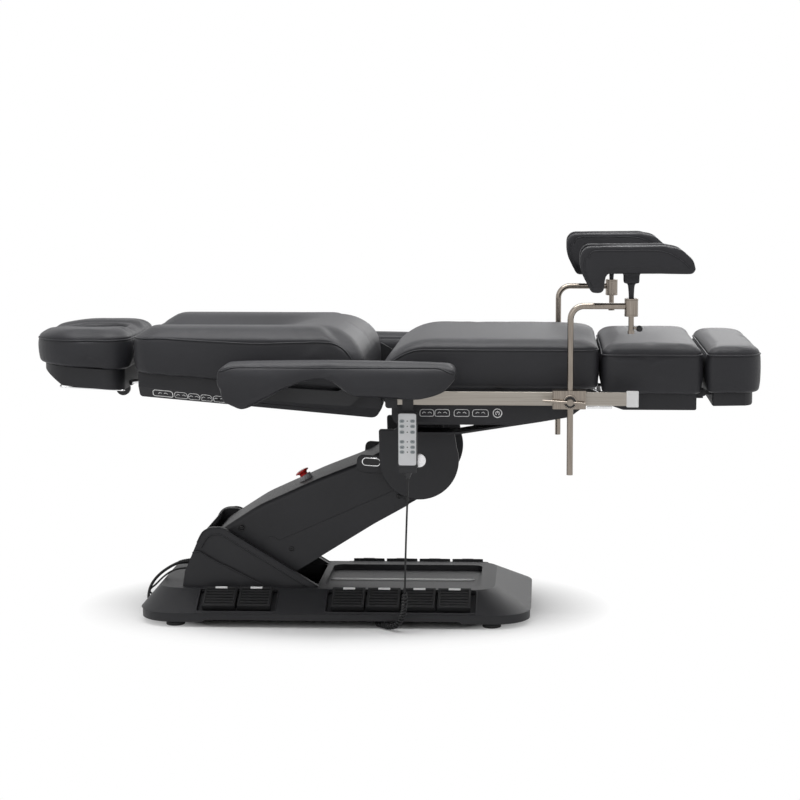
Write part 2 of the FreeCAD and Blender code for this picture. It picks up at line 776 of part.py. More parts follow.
def make_seat_frame():
    y = seat_shell_half_width - shell_wall - gap
    top = seat_pad_bottom - gap
    rails = both_sides(box(14, y - 30, top - 30, seat_shell_right - shell_wall - gap, y, top))
    crosses = []
    for x_from, x_to in ((14, 44), (240, 275), (460, 490)):
        crosses.append(box(x_from, -y + 20, top - 30, x_to, y - 20, top))
    hangers = []
    hanger_in = arm_half_width + 1.5 + head_plate + gap
    outline = [(14, top - 28, 0), (tilt_pivot[0] - 26, tilt_pivot[1] - 24, 24),
               (tilt_pivot[0] + 26, tilt_pivot[1] - 24, 24), (270, top - 28, 0), (270, top, 0), (14, top, 0)]
    for side in both_sides(side_slab(outline, hanger_in, hanger_in + 8)):
        hangers.append(side)
    shaft = cross_shaft(tilt_pivot, tilt_shaft_radius, -hanger_in - 12, hanger_in + 12)
    leg_lugs = both_sides(link_slab((seat_shell_right - 30, top - 14), leg_pivot, 13, 15,
                                    slide_side + 16, slide_side + 26))
    leg_pins = both_sides(cross_shaft(leg_pivot, leg_pin_radius, slide_side - 16, slide_side + 22))
    whole = joined(rails + crosses + hangers + [shaft] + leg_lugs + leg_pins)
    return cut(whole, [motor_tube(y) for y in motor_sides])


# Three drive motors lying on the seat frame, for the tilt, the back and the legs
def make_seat_motors():
    motors = []
    for y in motor_sides:
        motor = cylinder(vec(motor_left, y, motor_z - 6), along_x, motor_radius, motor_length)
        motors.append(joined([motor_tube(y), motor]))
    return motors


def motor_tube(y):
    return cylinder(vec(motor_left - 40, y, motor_z), along_x, 15, motor_length + 80)


# A soft pad: its side outline, plan and end section cross each other
def soft_pad(side, plan, section, z_from, z_to):
    x_from = min(c[0] for c in side)
    x_to = max(c[0] for c in side)
    y_to = max(abs(c[1]) for c in plan)
    body = side_slab(side, -y_to, y_to)
    body = body.common(plan_slab(plan, z_from, z_to))
    return body.common(end_slab(section, x_from, x_to))


# The end section of a pad. It rises a little past the side outline's top, so that the two outlines cross.
def crowned(half_width, bottom, seam, top, bulge):
    high = top + 1
    shoulder = half_width * 0.86
    return [(-half_width, bottom, 4), (half_width, bottom, 4), (half_width, seam, bulge),
            (shoulder, high, 90), (-shoulder, high, 90), (-half_width, seam, bulge)]


def make_seat_cushion():
    low = seat_pad_bottom
    side = [(seat_left + 16, low, 6), (seat_right, low, 8), (seat_right, seat_pad_top - 8, 24),
            (seat_right - 60, seat_pad_top, 60), (108, seat_pad_top, 100), (44, 742, 60),
            (seat_left, 670, 12)]
    plan = [(seat_left - 4, -seat_half_width, 40), (seat_right + 1, -seat_half_width, 34),
            (seat_right + 1, seat_half_width, 34), (seat_left - 4, seat_half_width, 40)]
    return soft_pad(side, plan, crowned(seat_half_width, low, seat_seam, seat_pad_top, 22), low - 5, 800)


# Side plates that carry the rails and the back's hinge pins
def make_side_plates():
    y_in = side_plate_inner
    outline = [(back_pivot[0] - 22, back_pivot[1] - 22, 20), (back_pivot[0] - 22, back_pivot[1] + 22, 20),
               (back_pivot[0] + 22, back_pivot[1] + 22, 20), (10, 658, 30), (120, 641, 10), (120, 606, 10),
               (-2, 600, 16), (-22, 628, 20)]
    plate = side_slab(outline, y_in, y_in + side_plate)
    bore = cross_shaft(back_pivot, back_pin_radius + pin_gap, y_in - 1, y_in + side_plate + 1)
    block = side_slab([(-4, 598, 8), (27, 598, 3), (27, 646, 3), (-4, 646, 3)], y_in,
                      rail_side + rail_thickness / 2 + 4)
    socket = box(rail_left - gap, rail_side - rail_thickness / 2 - gap, rail_bottom - gap, 40,
                 rail_side + rail_thickness / 2 + gap, rail_bottom + rail_height + gap)
    stay = box(60, seat_shell_half_width + gap, 618, 110, y_in + 2, 630)
    piece = cut(joined([plate, block, stay]), [bore, socket])
    return both_sides(piece)


def make_rails():
    bar = box(rail_left, rail_side - rail_thickness / 2, rail_bottom,
              rail_right, rail_side + rail_thickness / 2, rail_bottom + rail_height)
    long_edges = [e for e in bar.Edges if abs(e.Vertexes[0].X - e.Vertexes[1].X) > 100]
    bar = bar.makeFillet(1.2, long_edges)
    stay_x = 280.0
    stay = box(stay_x, seat_shell_half_width + gap, rail_bottom + 12, stay_x + 16,
               rail_side - rail_thickness / 2 + 1, rail_bottom + 24)
    return both_sides(joined([bar, stay]))


def make_rail_caps():
    cap = box(rail_right - 3, rail_side - rail_thickness / 2 - 3, rail_bottom - 3, rail_right + cap_length,
              rail_side + rail_thickness / 2 + 3, rail_bottom + rail_height + 3)
    cap = cap.makeFillet(2.5, cap.Edges)
    socket = box(rail_right - 20, rail_side - rail_thickness / 2 - 0.1, rail_bottom - 0.1, rail_right + 0.1,
                 rail_side + rail_thickness / 2 + 0.1, rail_bottom + rail_height + 0.1)
    return both_sides(cut(cap, [socket]))


# Back section

# Height of the back shell's upper edge, where the cushion lies
def back_edge_z(x):
    return 678 + (x - back_shell_left) * (624 - 678) / (back_shell_right - back_shell_left)


def make_back_shell():
    profile = [(back_shell_left, back_edge_z(back_shell_left), 0), (back_shell_left, 612, 8),
               (back_shell_right - 12, 557, 40), (back_shell_right, 590, 30),
               (back_shell_right, back_edge_z(back_shell_right), 0)]
    body = side_slab(profile, -back_shell_half_width, back_shell_half_width)
    bevel = shell_bevel
    slope = (612 - 557) / (back_shell_right - 12 - back_shell_left)
    wedges = []
    run = back_shell_right + 10 - back_shell_left
    for side in (-1, 1):
        edge = side * (back_shell_half_width + 2)
        corners = [(edge, 575, 0), (side * (back_shell_half_width - bevel), 608, 0),
                   (edge, 612 + bevel * 1.2, 0)]
        wire = rounded_wire(corners, at_x(back_shell_left - 5))
        wedges.append(prism(wire, vec(run, 0, -slope * run)))
    inner = back_shell_right - 58
    hollow = side_slab([(-464, 700, 0), (-464, 606, 8), (inner, 574, 10), (inner, 700, 0)],
                       -back_shell_half_width + 12, back_shell_half_width - 12)
    head_room = box(inner + 12, -slot_half_width, 500, back_shell_right + 1, slot_half_width, 700)
    bores = [cylinder(vec(back_shell_left - 5, side * headrest_rod_side, headrest_rod_z), along_x,
                      headrest_rod_radius + pin_gap, headrest_rod_end - back_shell_left + 30)
             for side in (-1, 1)]
    return cut(body, wedges + [hollow, head_room] + bores)


# Steel brackets on the back's sides, with the hinge pins and the armrests' pins
def make_back_brackets():
    y_out = side_plate_inner - gap
    y_in = y_out - back_bracket
    low = [(arm_rest_pivot[0] - 26, arm_rest_pivot[1] - 18, 16), (-100, 596, 16),
           (back_pivot[0] + 16, 620, 16), (back_pivot[0] + 18, back_pivot[1] + 16, 16),
           (back_pivot[0] - 20, back_pivot[1] + 16, 16),
           (back_pivot[0] - 30, 634, 20), (arm_rest_pivot[0] + 30, arm_rest_pivot[1] + 14, 14),
           (arm_rest_pivot[0] - 26, arm_rest_pivot[1] + 14, 14)]
    plate = side_slab(low, y_in, y_out)
    pin = cross_shaft(back_pivot, back_pin_radius, y_in + 1, y_out + side_plate + gap + 3)
    rest_pin = cross_shaft(arm_rest_pivot, arm_rest_pin_radius, y_in + 1, arm_rest_inner + 46)
    collar = cross_shaft(arm_rest_pivot, arm_rest_pin_radius + 7, y_out - 1, arm_rest_inner - gap)
    spacers = [box(x, back_shell_half_width, 612, x + 40, y_in + 1, 626) for x in (-340, -150)]
    return both_sides(joined([plate, pin, rest_pin, collar] + spacers))


def make_back_cushion():
    low_right = back_right - 12
    side = [(back_left, back_edge_z(back_left) + gap, 6), (low_right, back_edge_z(low_right) + gap, 16),
            (back_right, 652, 20), (back_right, 706, 40), (-84, 754, 50), (-130, back_top - 6, 60),
            (-190, back_top, 120), (back_left + 40, back_top, 50), (back_left, 750, 40)]
    plan = [(back_left - 1, -back_half_width, 60), (back_right + 1, -back_half_width, 40),
            (back_right + 1, back_half_width, 40), (back_left - 1, back_half_width, 60)]
    body = soft_pad(side, plan, crowned(back_half_width, 500, 762, back_top, 20), 600, 830)
    trough_z = back_top + trough_round - trough_depth
    trough = cylinder(vec(back_left - 60, 0, trough_z), along_x, trough_round, trough_end - back_left + 60)
    fade = Part.makeSphere(trough_round, vec(trough_end, 0, trough_z))
    return cut(body, [trough, fade])


def make_armrest():
    top = arm_rest_top
    outline = [(-424, top - 24, 20), (-424, 664, 8), (-417, 656, 8), (-410, 622, 16), (-362, 600, 14),
               (-262, 655, 40), (-214, 676, 40), (-148, 690, 60), (-100, 652, 20), (-80, 638, 30),
               (90, 629, 60), (150, 648, 50), (186, top - 34, 30), (172, top - 4, 26), (-130, top, 200),
               (-400, top - 4, 24)]
    body = side_slab(outline, arm_rest_inner, arm_rest_outer)
    section = end_slab([(arm_rest_inner, 590, 0), (arm_rest_outer - 8, 590, 14), (arm_rest_outer, 660, 20),
                        (arm_rest_outer - 2, top - 16, 12), (arm_rest_outer - 24, top, 24),
                        (arm_rest_inner + 24, top, 24), (arm_rest_inner, top - 16, 12)], -430, 190)
    bore = cross_shaft(arm_rest_pivot, arm_rest_pin_radius + pin_gap, arm_rest_inner - 1, arm_rest_inner + 48)
    return cut(body.common(section), [bore])


# Headrest

def headrest_plan(inset):
    half = headrest_half_width - inset
    outer_round = 150 - inset
    inner_round = 60 - inset / 2
    return [(head_end + inset, -half, outer_round), (headrest_right - inset, -half, inner_round),
            (headrest_right - inset, half, inner_round), (head_end + inset, half, outer_round)]


def face_hole(grow, z_from, z_to):
    half = face_hole_length / 2 + grow
    side = face_hole_width / 2 + grow
    return plan_slab(rectangle(face_hole_x - half, -side, face_hole_x + half, side, side - 1), z_from, z_to)


# Height of the headrest cushion's sloping underside
def headrest_under(x):
    share = (x - head_end) / (headrest_right - head_end)
    return headrest_bottom_left + share * (headrest_bottom_right - headrest_bottom_left)


def make_headrest_cushion():
    side = [(head_end, headrest_under(head_end) + 8, 20), (head_end + 24, headrest_under(head_end + 24), 20),
            (headrest_right, headrest_bottom_right, 8), (headrest_right, 770, 30),
            (headrest_right - 60, headrest_top, 80), (head_end + 110, headrest_top - 4, 100),
            (head_end, 740, 44)]
    section = crowned(headrest_half_width, 600, 752, headrest_top, 24)
    body = soft_pad(side, headrest_plan(0), section, 640, 800)
    return cut(body, [face_hole(0, 600, 820)])


def make_headrest_shell():
    left = head_end + 26
    right = headrest_right - 10
    side = [(left, headrest_under(left) - gap, 0), (left, 672, 6), (-878, 634, 10), (right, 619, 8),
            (right, headrest_under(right) - gap, 0)]
    body = side_slab(side, -headrest_half_width, headrest_half_width)
    body = body.common(plan_slab(headrest_plan(18), 600, 700))
    knob_room = box(knob_x - knob_radius - 3, -100, 600, knob_x + knob_radius + 3,
                    -headrest_rod_side - headrest_rod_radius, knob_z + knob_radius + 3)
    return cut(body, [face_hole(8, 590, 720), knob_room] + make_headrest_rods())


# Two slide rods that run from the tub into the back section
def make_headrest_rods():
    start = headrest_right - 38
    return [cylinder(vec(start, side * headrest_rod_side, headrest_rod_z), along_x, headrest_rod_radius,
                     headrest_rod_end - start) for side in (-1, 1)]


def make_headrest_knob():
    outer = -headrest_rod_side - headrest_rod_radius - gap
    disc = cylinder(vec(knob_x, outer - 24, knob_z), along_y, knob_radius, 16)
    disc = disc.makeFillet(3.0, disc.Edges)
    stem = cylinder(vec(knob_x, outer - 10, knob_z), along_y, 6, 10)
    return joined([disc, stem])


# Leg section

def make_leg_slides():
    pieces = []
    for side in (-1, 1):
        y = side * slide_side
        rod = cylinder(vec(leg_pivot[0] + 14, y, slide_z), along_x, slide_radius, 212)
        lug = joined([cylinder(vec(leg_pivot[0], y - 12, leg_pivot[1]), along_y, 18, 24),
                      box(leg_pivot[0], y - 12, slide_z - 8, leg_pivot[0] + 18, y + 12, slide_z + 8)])
        bore = cross_shaft(leg_pivot, leg_pin_radius + pin_gap, y - 20, y + 20)
        pieces.append(cut(joined([rod, lug]), [bore]))
    bridge = box(leg_pivot[0] + 12, -slide_side, slide_z - 5, leg_pivot[0] + 22, slide_side, slide_z + 5)
    return joined(pieces + [bridge])


def make_leg_shell():
    side = [(leg_shell_left, leg_pad_bottom - gap, 0), (leg_shell_left, 596, 6), (608, leg_shell_bottom, 10),
            (leg_shell_right, leg_shell_bottom, 5), (leg_shell_right, leg_pad_bottom - gap, 0)]
    body = side_slab(side, -leg_shell_half_width, leg_shell_half_width)
    bores = [cylinder(vec(leg_shell_left - 5, s * slide_side, slide_z), along_x, slide_radius + pin_gap, 196)
             for s in (-1, 1)]
    inner = slide_side - 20
    outer = slide_side + 20
    edge = leg_shell_half_width - 8
    hollow = [plan_slab(rectangle(600, y_from, 780, y_to, 10), leg_shell_bottom + 6, 700)
              for y_from, y_to in ((-inner, inner), (outer, edge), (-edge, -outer))]
    lug_side = leg_shell_half_width - 40
    lugs = [joined([cross_shaft(foot_pivot, 9, s * lug_side - 10, s * lug_side + 10),
                    box(leg_shell_right - 1, s * lug_side - 10, 612, foot_pivot[0], s * lug_side + 10, 626)])
            for s in (-1, 1)]
    whole = joined([cut(body, hollow + bores)] + lugs)
    return cut(whole, [cross_shaft(foot_pivot, foot_pin_radius + pin_gap, -300, 300)])


def make_leg_cushion():
    low = leg_pad_bottom
    side = [(leg_left, low, 6), (leg_right - 16, low, 6), (leg_right - 4, 640, 8), (leg_right, 735, 12),
            (leg_right - 16, 752, 20), (leg_right - 60, leg_pad_top, 50), (leg_left + 60, leg_pad_top, 50),
            (leg_left + 8, 752, 18), (leg_left, 730, 10)]
    plan = rectangle(leg_left - 1, -leg_half_width, leg_right + 1, leg_half_width, 30)
    return soft_pad(side, plan, crowned(leg_half_width, low, 730, leg_pad_top, 14), low - 5, 800)


# Foot section

def foot_plan(inset):
    lobe = foot_end - inset
    half = foot_half_width - inset
    notch = 26 + inset
    left = foot_pad_left - 1 + inset
    return [(left, -half, 20), (lobe, -half, 120 - inset), (lobe, -18, 60), (lobe - notch, 0, 40),
            (lobe, 18, 60), (lobe, half, 120 - inset), (left, half, 20)]


def make_foot_cushion():
    side = [(foot_pad_left + 6, 640, 4), (foot_pad_left + 14, 630, 4), (foot_end, 630, 10),
            (foot_end, 740, 20), (foot_end - 50, 754, 60),
            (foot_pad_left + 50, foot_pad_top, 50), (foot_pad_left, 744, 16)]
    return soft_pad(side, foot_plan(0), crowned(foot_half_width, 600, 728, foot_pad_top, 14), 620, 790)


def make_foot_shell():
    side = [(foot_pivot[0] + 16, 630 - gap, 0), (foot_pivot[0] + 18, foot_shell_bottom + 22, 4),
            (foot_pivot[0] + 21, foot_shell_bottom, 6), (foot_shell_right, foot_shell_bottom + 2, 8),
            (foot_shell_right, 630 - gap, 0)]
    body = side_slab(side, -foot_half_width + 30, foot_half_width - 30)
    body = body.common(plan_slab(foot_plan(20), 560, 700))
    lug_side = leg_shell_half_width - 64
    lugs = []
    for s in (-1, 1):
        lug = joined([cross_shaft(foot_pivot, 8, s * lug_side - 10, s * lug_side + 10),
                      box(foot_pivot[0], s * lug_side - 10, 619, foot_pivot[0] + 24, s * lug_side + 10, 628)])
        lugs.append(lug)
    pins = [cross_shaft(foot_pivot, foot_pin_radius, min(s * (lug_side - 10), s * (lug_side + 36)),
                        max(s * (lug_side - 10), s * (lug_side + 36))) for s in (-1, 1)]
    return joined([body] + lugs + pins)


# Leg holders, made on the far side and mirrored for the near side

def make_clamp():
    y_in = rail_side - rail_thickness / 2 - 8
    y_out = holder_side + holder_rod_radius + 7
    block = box(clamp_left, y_in, clamp_low, clamp_right, y_out, clamp_high)
    block = block.makeChamfer(3.0, [e for e in block.Edges if abs(e.Vertexes[0].Z - e.Vertexes[1].Z) > 10])
    rail_slot = box(clamp_left - 5, rail_side - rail_thickness / 2 - 0.1, rail_bottom - 0.1, clamp_right + 5,
                    rail_side + rail_thickness / 2 + 0.1, rail_bottom + rail_height + 0.1)
    rod_hole = cylinder(vec(holder_x, holder_side, clamp_low - 5), along_z, holder_rod_radius + pin_gap, 60)
    screw_hole = cylinder(vec(holder_x, holder_side + holder_rod_radius + 1, clamp_screw_z), along_y,
                          6 + pin_gap, 30)
    groove = box(clamp_left - 1, y_out - 3, 623, clamp_left + 20, y_out + 1, 627)
    return cut(block, [rail_slot, rod_hole, screw_hole, groove])


def make_clamp_screw():
    face = holder_side + holder_rod_radius + 7
    boss = cylinder(vec(holder_x, face + gap, clamp_screw_z), along_y, 18, 7)
    boss = boss.makeFillet(1.5, boss.Edges)
    hub = cylinder(vec(holder_x, face + gap, clamp_screw_z), along_y, 8.5, 20)
    stem = cylinder(vec(holder_x, holder_side + holder_rod_radius + gap * 5, clamp_screw_z), along_y, 6, 8)
    bar = cylinder(vec(holder_x - 70, face + 14, clamp_screw_z + 4), vec(1, 0, -0.064), 3.5, bar_length)
    return joined([boss, hub, stem, bar])


def make_holder_rod():
    top = holder_bend_z
    bend = holder_bend_radius
    start = vec(holder_x, holder_side, holder_rod_bottom)
    turn_start = vec(holder_x, holder_side, top - bend)
    turn_end = vec(holder_x + bend, holder_side, top)
    middle = vec(holder_x + bend * (1 - math.sqrt(0.5)), holder_side, top - bend * (1 - math.sqrt(0.5)))
    end = vec(holder_post_x, holder_side, top)
    path = Part.Wire([Part.LineSegment(start, turn_start).toShape(),
                      Part.Arc(turn_start, middle, turn_end).toShape(),
                      Part.LineSegment(turn_end, end).toShape()])
    ring = Part.Wire([Part.makeCircle(holder_rod_radius, start, along_z)])
    rod = path.makePipeShell([ring], True, True)
    housing = cylinder(vec(holder_post_x, holder_side, housing_low), along_z, housing_radius,
                       housing_high - housing_low)
    housing = housing.makeFillet(1.5, housing.Edges)
    low_pin = cylinder(vec(holder_post_x, holder_side, housing_low - 36), along_z, 7, 40)
    low_cap = cylinder(vec(holder_post_x, holder_side, housing_low - 44), along_z, 9, 9)
    stalk = cylinder(vec(holder_post_x, holder_side, housing_low - 28), vec(1, 0, -0.15), 3, 18)
    ball = Part.makeSphere(8, vec(holder_post_x + 21, holder_side, housing_low - 31))
    whole = joined([rod, housing, low_pin, low_cap, stalk, ball])
    socket = cylinder(vec(holder_post_x, holder_side, housing_high - 26), along_z, 7 + pin_gap, 40)
    return cut(whole, [socket])


def make_holder_pad():
    bottom = pad_bottom
    outline = [(pad_left + 2, pad_top, 28), (pad_left, bottom + 8, 60), (pad_left + 28, bottom - 50, 14),
               (pad_left + 58, bottom - 51, 12), (pad_left + 63, bottom, 20), (pad_right - 8, bottom, 10),
               (pad_right, bottom + 10, 12), (pad_right - 6, bottom + 34, 30),
               (pad_right - 38, pad_top - 6, 40), (pad_right - 80, pad_top + 2, 40)]
    y_in = holder_side - pad_half_width
    y_out = holder_side + pad_half_width
    body = side_slab(outline, y_in, y_out)
    section = end_slab([(y_in, pad_top + 18, 0), (y_in, bottom - 70, 60), (y_out, bottom - 70, 60),
                        (y_out, pad_top + 18, 0)], pad_left - 10, pad_right + 10)
    line_z = pad_top + 10
    bend = trough_radius * 1.6
    lean = math.radians(55)
    turn_x = 590.0
    corner = (turn_x - bend * math.sin(lean), line_z - bend * (1 - math.cos(lean)))
    middle = (turn_x - bend * math.sin(lean / 2), line_z - bend * (1 - math.cos(lean / 2)))
    start = vec(pad_right + 20, holder_side, line_z)
    turn = vec(turn_x, holder_side, line_z)
    bent = vec(corner[0], holder_side, corner[1])
    end = vec(corner[0] - 120 * math.cos(lean), holder_side, corner[1] - 120 * math.sin(lean))
    path = Part.Wire([Part.LineSegment(start, turn).toShape(),
                      Part.Arc(turn, vec(middle[0], holder_side, middle[1]), bent).toShape(),
                      Part.LineSegment(bent, end).toShape()])
    ring = Part.Wire([Part.makeCircle(trough_radius, start, along_x)])
    pad = cut(body.common(section), [path.makePipeShell([ring], True, True)])
    block = box(holder_post_x - 20, holder_side - 20, housing_high + post_height, holder_post_x + 20,
                holder_side + 20, pad_bottom + 3)
    post = Part.makeCone(6.5, 9.5, post_height, vec(holder_post_x, holder_side, housing_high + gap), along_z)
    spigot = cylinder(vec(holder_post_x, holder_side, housing_high - 24), along_z, 7, 44)
    return joined([pad, block, post, spigot])


# Handset on the near rail

def make_handset():
    y_rail = -rail_side - rail_thickness / 2
    y_in = y_rail - 1.0
    y_out = y_in - handset_depth
    x0 = handset_x - handset_width / 2
    x1 = handset_x + handset_width / 2
    body = end_slab([(y_in - 3, handset_bottom, 4), (y_in - 3, handset_top, 4), (y_out, handset_top, 8),
                     (y_out + 2, handset_bottom, 6)], x0, x1)
    collar = box(x0 + 3, y_out + 5, handset_bottom - 13, x1 - 3, y_in - 6, handset_bottom + 1)
    cone = Part.makeCone(5.0, 12.0, 17, vec(handset_x, handset_points[0][1], handset_bottom - 29), along_z)
    front = y_rail - gap
    behind = y_rail + rail_thickness + gap
    under = rail_bottom + rail_height + gap
    hook = end_slab([(front - 4, 560, 0), (front - 4, under + 6, 3), (behind + 3, under + 6, 3),
                     (behind + 3, 628, 0), (behind, 628, 0), (behind, under, 1), (front, under, 1),
                     (front, 560, 0)],
                    handset_x - 14, handset_x + 14)
    return joined([body, collar, cone, hook])


# Cords

# Straight runs joined by tangent arcs, as large as the runs allow
def cord_wire(name, points):
    places = [vec(*p) for p in points]
    edges = []
    start = places[0]
    radii = []
    length = 0.0
    for i in range(1, len(places) - 1):
        back = places[i - 1] - places[i]
        ahead = places[i + 1] - places[i]
        shorter = min(back.Length, ahead.Length)
        back_dir = vec(*back).normalize()
        ahead_dir = vec(*ahead).normalize()
        half_turn_angle = (math.pi - back_dir.getAngle(ahead_dir)) / 2
        reach = 0.45 * shorter
        radius = reach / math.tan(half_turn_angle)
        radii.append(round(radius))
        arc_start = places[i] + back_dir * reach
        arc_end = places[i] + ahead_dir * reach
        middle_dir = (back_dir + ahead_dir).normalize()
        centre_far = radius / math.cos(half_turn_angle)
        middle = places[i] + middle_dir * (centre_far - radius)
        edges.append(Part.LineSegment(start, arc_start).toShape())
        edges.append(Part.Arc(arc_start, middle, arc_end).toShape())
        start = arc_end
    edges.append(Part.LineSegment(start, places[-1]).toShape())
    wire = Part.Wire(edges)
    print(name, "length", round(wire.Length), "radii", radii)
    return wire


def cord_tube(name, points, radius):
    wire = cord_wire(name, points)
    first = (vec(*points[1]) - vec(*points[0])).normalize()
    ring = Part.Wire([Part.makeCircle(radius, vec(*points[0]), first)])
    tube = wire.makePipeShell([ring], True, True)
    share = tube.Volume / (math.pi * radius ** 2 * wire.Length)
    print(name, "volume over section times length", round(share, 4))
    return tube


def make_coil():
    outer = coil_turn_radius + mains_radius * 2
    inner = coil_turn_radius - mains_radius * 2
    height = mains_radius * 5.6
    ring = cut(cylinder(vec(coil_centre[0], coil_centre[1], floor_gap), along_z, outer, height),
               [cylinder(vec(coil_centre[0], coil_centre[1], 0), along_z, inner, 60)])
    return ring


def make_plug():
    x, y = coil_centre
    z = floor_gap + mains_radius * 5.6 + gap
    outline = [(x - 22, z, 4), (x + 18, z, 5), (x + 22, z + 26, 8), (x - 14, z + 26, 8)]
    return side_slab(outline, y - 60, y - 30)


# Everything that is made, by the name of its node
def make_all():
    os.makedirs("parts", exist_ok=True)
    save("base_frame", [make_base_frame()])
    save("base_cover", [make_base_cover()])
    save("hood", [make_hood()])
    save("levelling_feet", make_feet())
    save("arm_bracket", [make_arm_bracket()])
    for name, pedal in make_pedals().items():
        save(name, [pedal])
    save("arm_beam", [make_arm_beam()])
    save("arm_cover", [make_arm_cover()])
    save("lift_motor", [make_lift_motor()])
    save("lift_rod", [make_lift_rod()])
    save("tie_rod", [make_tie_rod()])
    save("stop_button", [make_stop_button()])
    save("head_block", [make_head_block()])
    save("head_covers", make_head_covers())
    save("levelling_shaft", [make_levelling_shaft()])
    save("seat_frame", [make_seat_frame()])
    save("seat_shell", [make_seat_shell()])
    save("seat_cushion", [make_seat_cushion()])
    save("seat_motors", make_seat_motors())
    save("seat_side_plates", make_side_plates())
    save("side_rails", make_rails())
    save("rail_end_caps", make_rail_caps())
    save("back_shell", [make_back_shell()])
    save("back_brackets", make_back_brackets())
    save("back_cushion", [make_back_cushion()])
    save("armrest_far", [make_armrest()])
    save("armrest_near", [mirrored(make_armrest())])
    save("headrest_cushion", [make_headrest_cushion()])
    save("headrest_shell", [make_headrest_shell()])
    save("headrest_rods", make_headrest_rods())
    save("headrest_knob", [make_headrest_knob()])
    save("leg_slides", [make_leg_slides()])
    save("leg_shell", [make_leg_shell()])
    save("leg_cushion", [make_leg_cushion()])
    save("foot_shell", [make_foot_shell()])
    save("foot_cushion", [make_foot_cushion()])
    for side in ("near", "far"):
        pieces = {"holder_clamp": make_clamp(), "holder_screw": make_clamp_screw(),
                  "holder_rod": make_holder_rod(), "holder_pad": make_holder_pad()}
        for name, piece in pieces.items():
            if side == "near":
                piece = mirrored(piece)
            else:
                piece.translate(vec(far_holder_shift, 0, 0))
            save(name + "_" + side, [piece])
    save("handset", [make_handset()])
    save("handset_lead", [cord_tube("handset lead", handset_points, handset_lead_radius)])
    save("handset_curl", [cord_tube("handset curl", curl_points, curl_radius)])
    save("mains_lead", [cord_tube("mains lead", mains_points, mains_radius)])
    save("mains_coil", [make_coil()])
    save("mains_plug", [make_plug()])
    save("link_lead", [cord_tube("link lead", link_points, link_radius)])


make_all()
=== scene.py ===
import math

import bmesh
import bpy
import numpy as np
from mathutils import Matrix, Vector
from mathutils.bvhtree import BVHTree


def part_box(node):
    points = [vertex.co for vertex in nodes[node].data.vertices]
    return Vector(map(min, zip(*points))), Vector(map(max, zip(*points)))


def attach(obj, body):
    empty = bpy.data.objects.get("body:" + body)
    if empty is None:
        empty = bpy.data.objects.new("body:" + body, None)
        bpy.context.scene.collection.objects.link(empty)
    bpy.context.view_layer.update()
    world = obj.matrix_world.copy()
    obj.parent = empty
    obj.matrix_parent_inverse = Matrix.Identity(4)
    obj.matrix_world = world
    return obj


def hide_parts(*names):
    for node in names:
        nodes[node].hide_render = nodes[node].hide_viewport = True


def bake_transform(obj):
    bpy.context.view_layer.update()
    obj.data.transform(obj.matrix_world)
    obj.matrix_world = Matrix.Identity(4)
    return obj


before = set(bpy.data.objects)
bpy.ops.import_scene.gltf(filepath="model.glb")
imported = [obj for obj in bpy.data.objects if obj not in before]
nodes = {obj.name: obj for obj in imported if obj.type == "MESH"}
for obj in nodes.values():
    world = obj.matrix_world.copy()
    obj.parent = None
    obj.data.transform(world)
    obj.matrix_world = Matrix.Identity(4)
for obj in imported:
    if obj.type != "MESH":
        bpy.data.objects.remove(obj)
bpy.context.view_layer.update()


# Meshes from arrays

def meshPiece(name, points, faces, material, body, smooth=True):
    mesh = bpy.data.meshes.new(name)
    mesh.from_pydata(np.asarray(points, float).tolist(), [], [list(map(int, f)) for f in faces])
    mesh.update()
    piece = bpy.data.objects.new(name, mesh)
    bpy.context.scene.collection.objects.link(piece)
    if smooth:
        mesh.polygons.foreach_set("use_smooth", np.ones(len(mesh.polygons), bool))
    if material:
        mesh.materials.append(material)
    if body:
        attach(piece, body)
    return piece


# Quads between the rows of a grid. Columns close into a ring, rows close if the surface is a torus.
def gridQuads(rows, cols, closeRows=False, closeCols=True, start=0):
    i = np.arange(rows if closeRows else rows - 1)[:, None]
    j = np.arange(cols if closeCols else cols - 1)[None, :]
    i2 = (i + 1) % rows
    j2 = (j + 1) % cols
    quads = np.stack([i * cols + j, i * cols + j2, i2 * cols + j2, i2 * cols + j], axis=-1)
    return (quads.reshape(-1, 4) + start).tolist()


# A fan from a ring to one point
def fan(ringStart, cols, pole, flip=False):
    j = np.arange(cols)
    a, b = ringStart + j, ringStart + (j + 1) % cols
    return (np.stack([b, a, np.full(cols, pole)], -1) if flip else np.stack([a, b, np.full(cols, pole)], -1)).tolist()


# Corners (u, v, radius) as a closed polyline with round corners, spaced evenly
def roundLoop(corners, count):
    points = np.array([c[:2] for c in corners], float)
    out = []
    for k, (p, c) in enumerate(zip(points, corners)):
        back = points[k - 1] - p
        ahead = points[(k + 1) % len(points)] - p
        la, lb = np.linalg.norm(back), np.linalg.norm(ahead)
        back, ahead = back / la, ahead / lb
        half = math.acos(float(np.clip(back @ ahead, -1, 1))) / 2
        radius = min(c[2], 0.49 * min(la, lb) * math.tan(half))
        reach = radius / math.tan(half)
        t = np.linspace(0, 1, 13)[:, None]
        a, b = p + back * reach, p + ahead * reach
        weight = 1 / math.sin(half) if radius > 0 else 1  # a rational quadratic is an exact arc
        w = math.sin(half)
        blend = (1 - t) ** 2 * a + 2 * w * t * (1 - t) * p + t ** 2 * b
        out.append(blend / ((1 - t) ** 2 + 2 * w * t * (1 - t) + t ** 2))
    line = np.vstack(out + [out[0][:1]])
    return evenly(line, count + 1)[:-1]


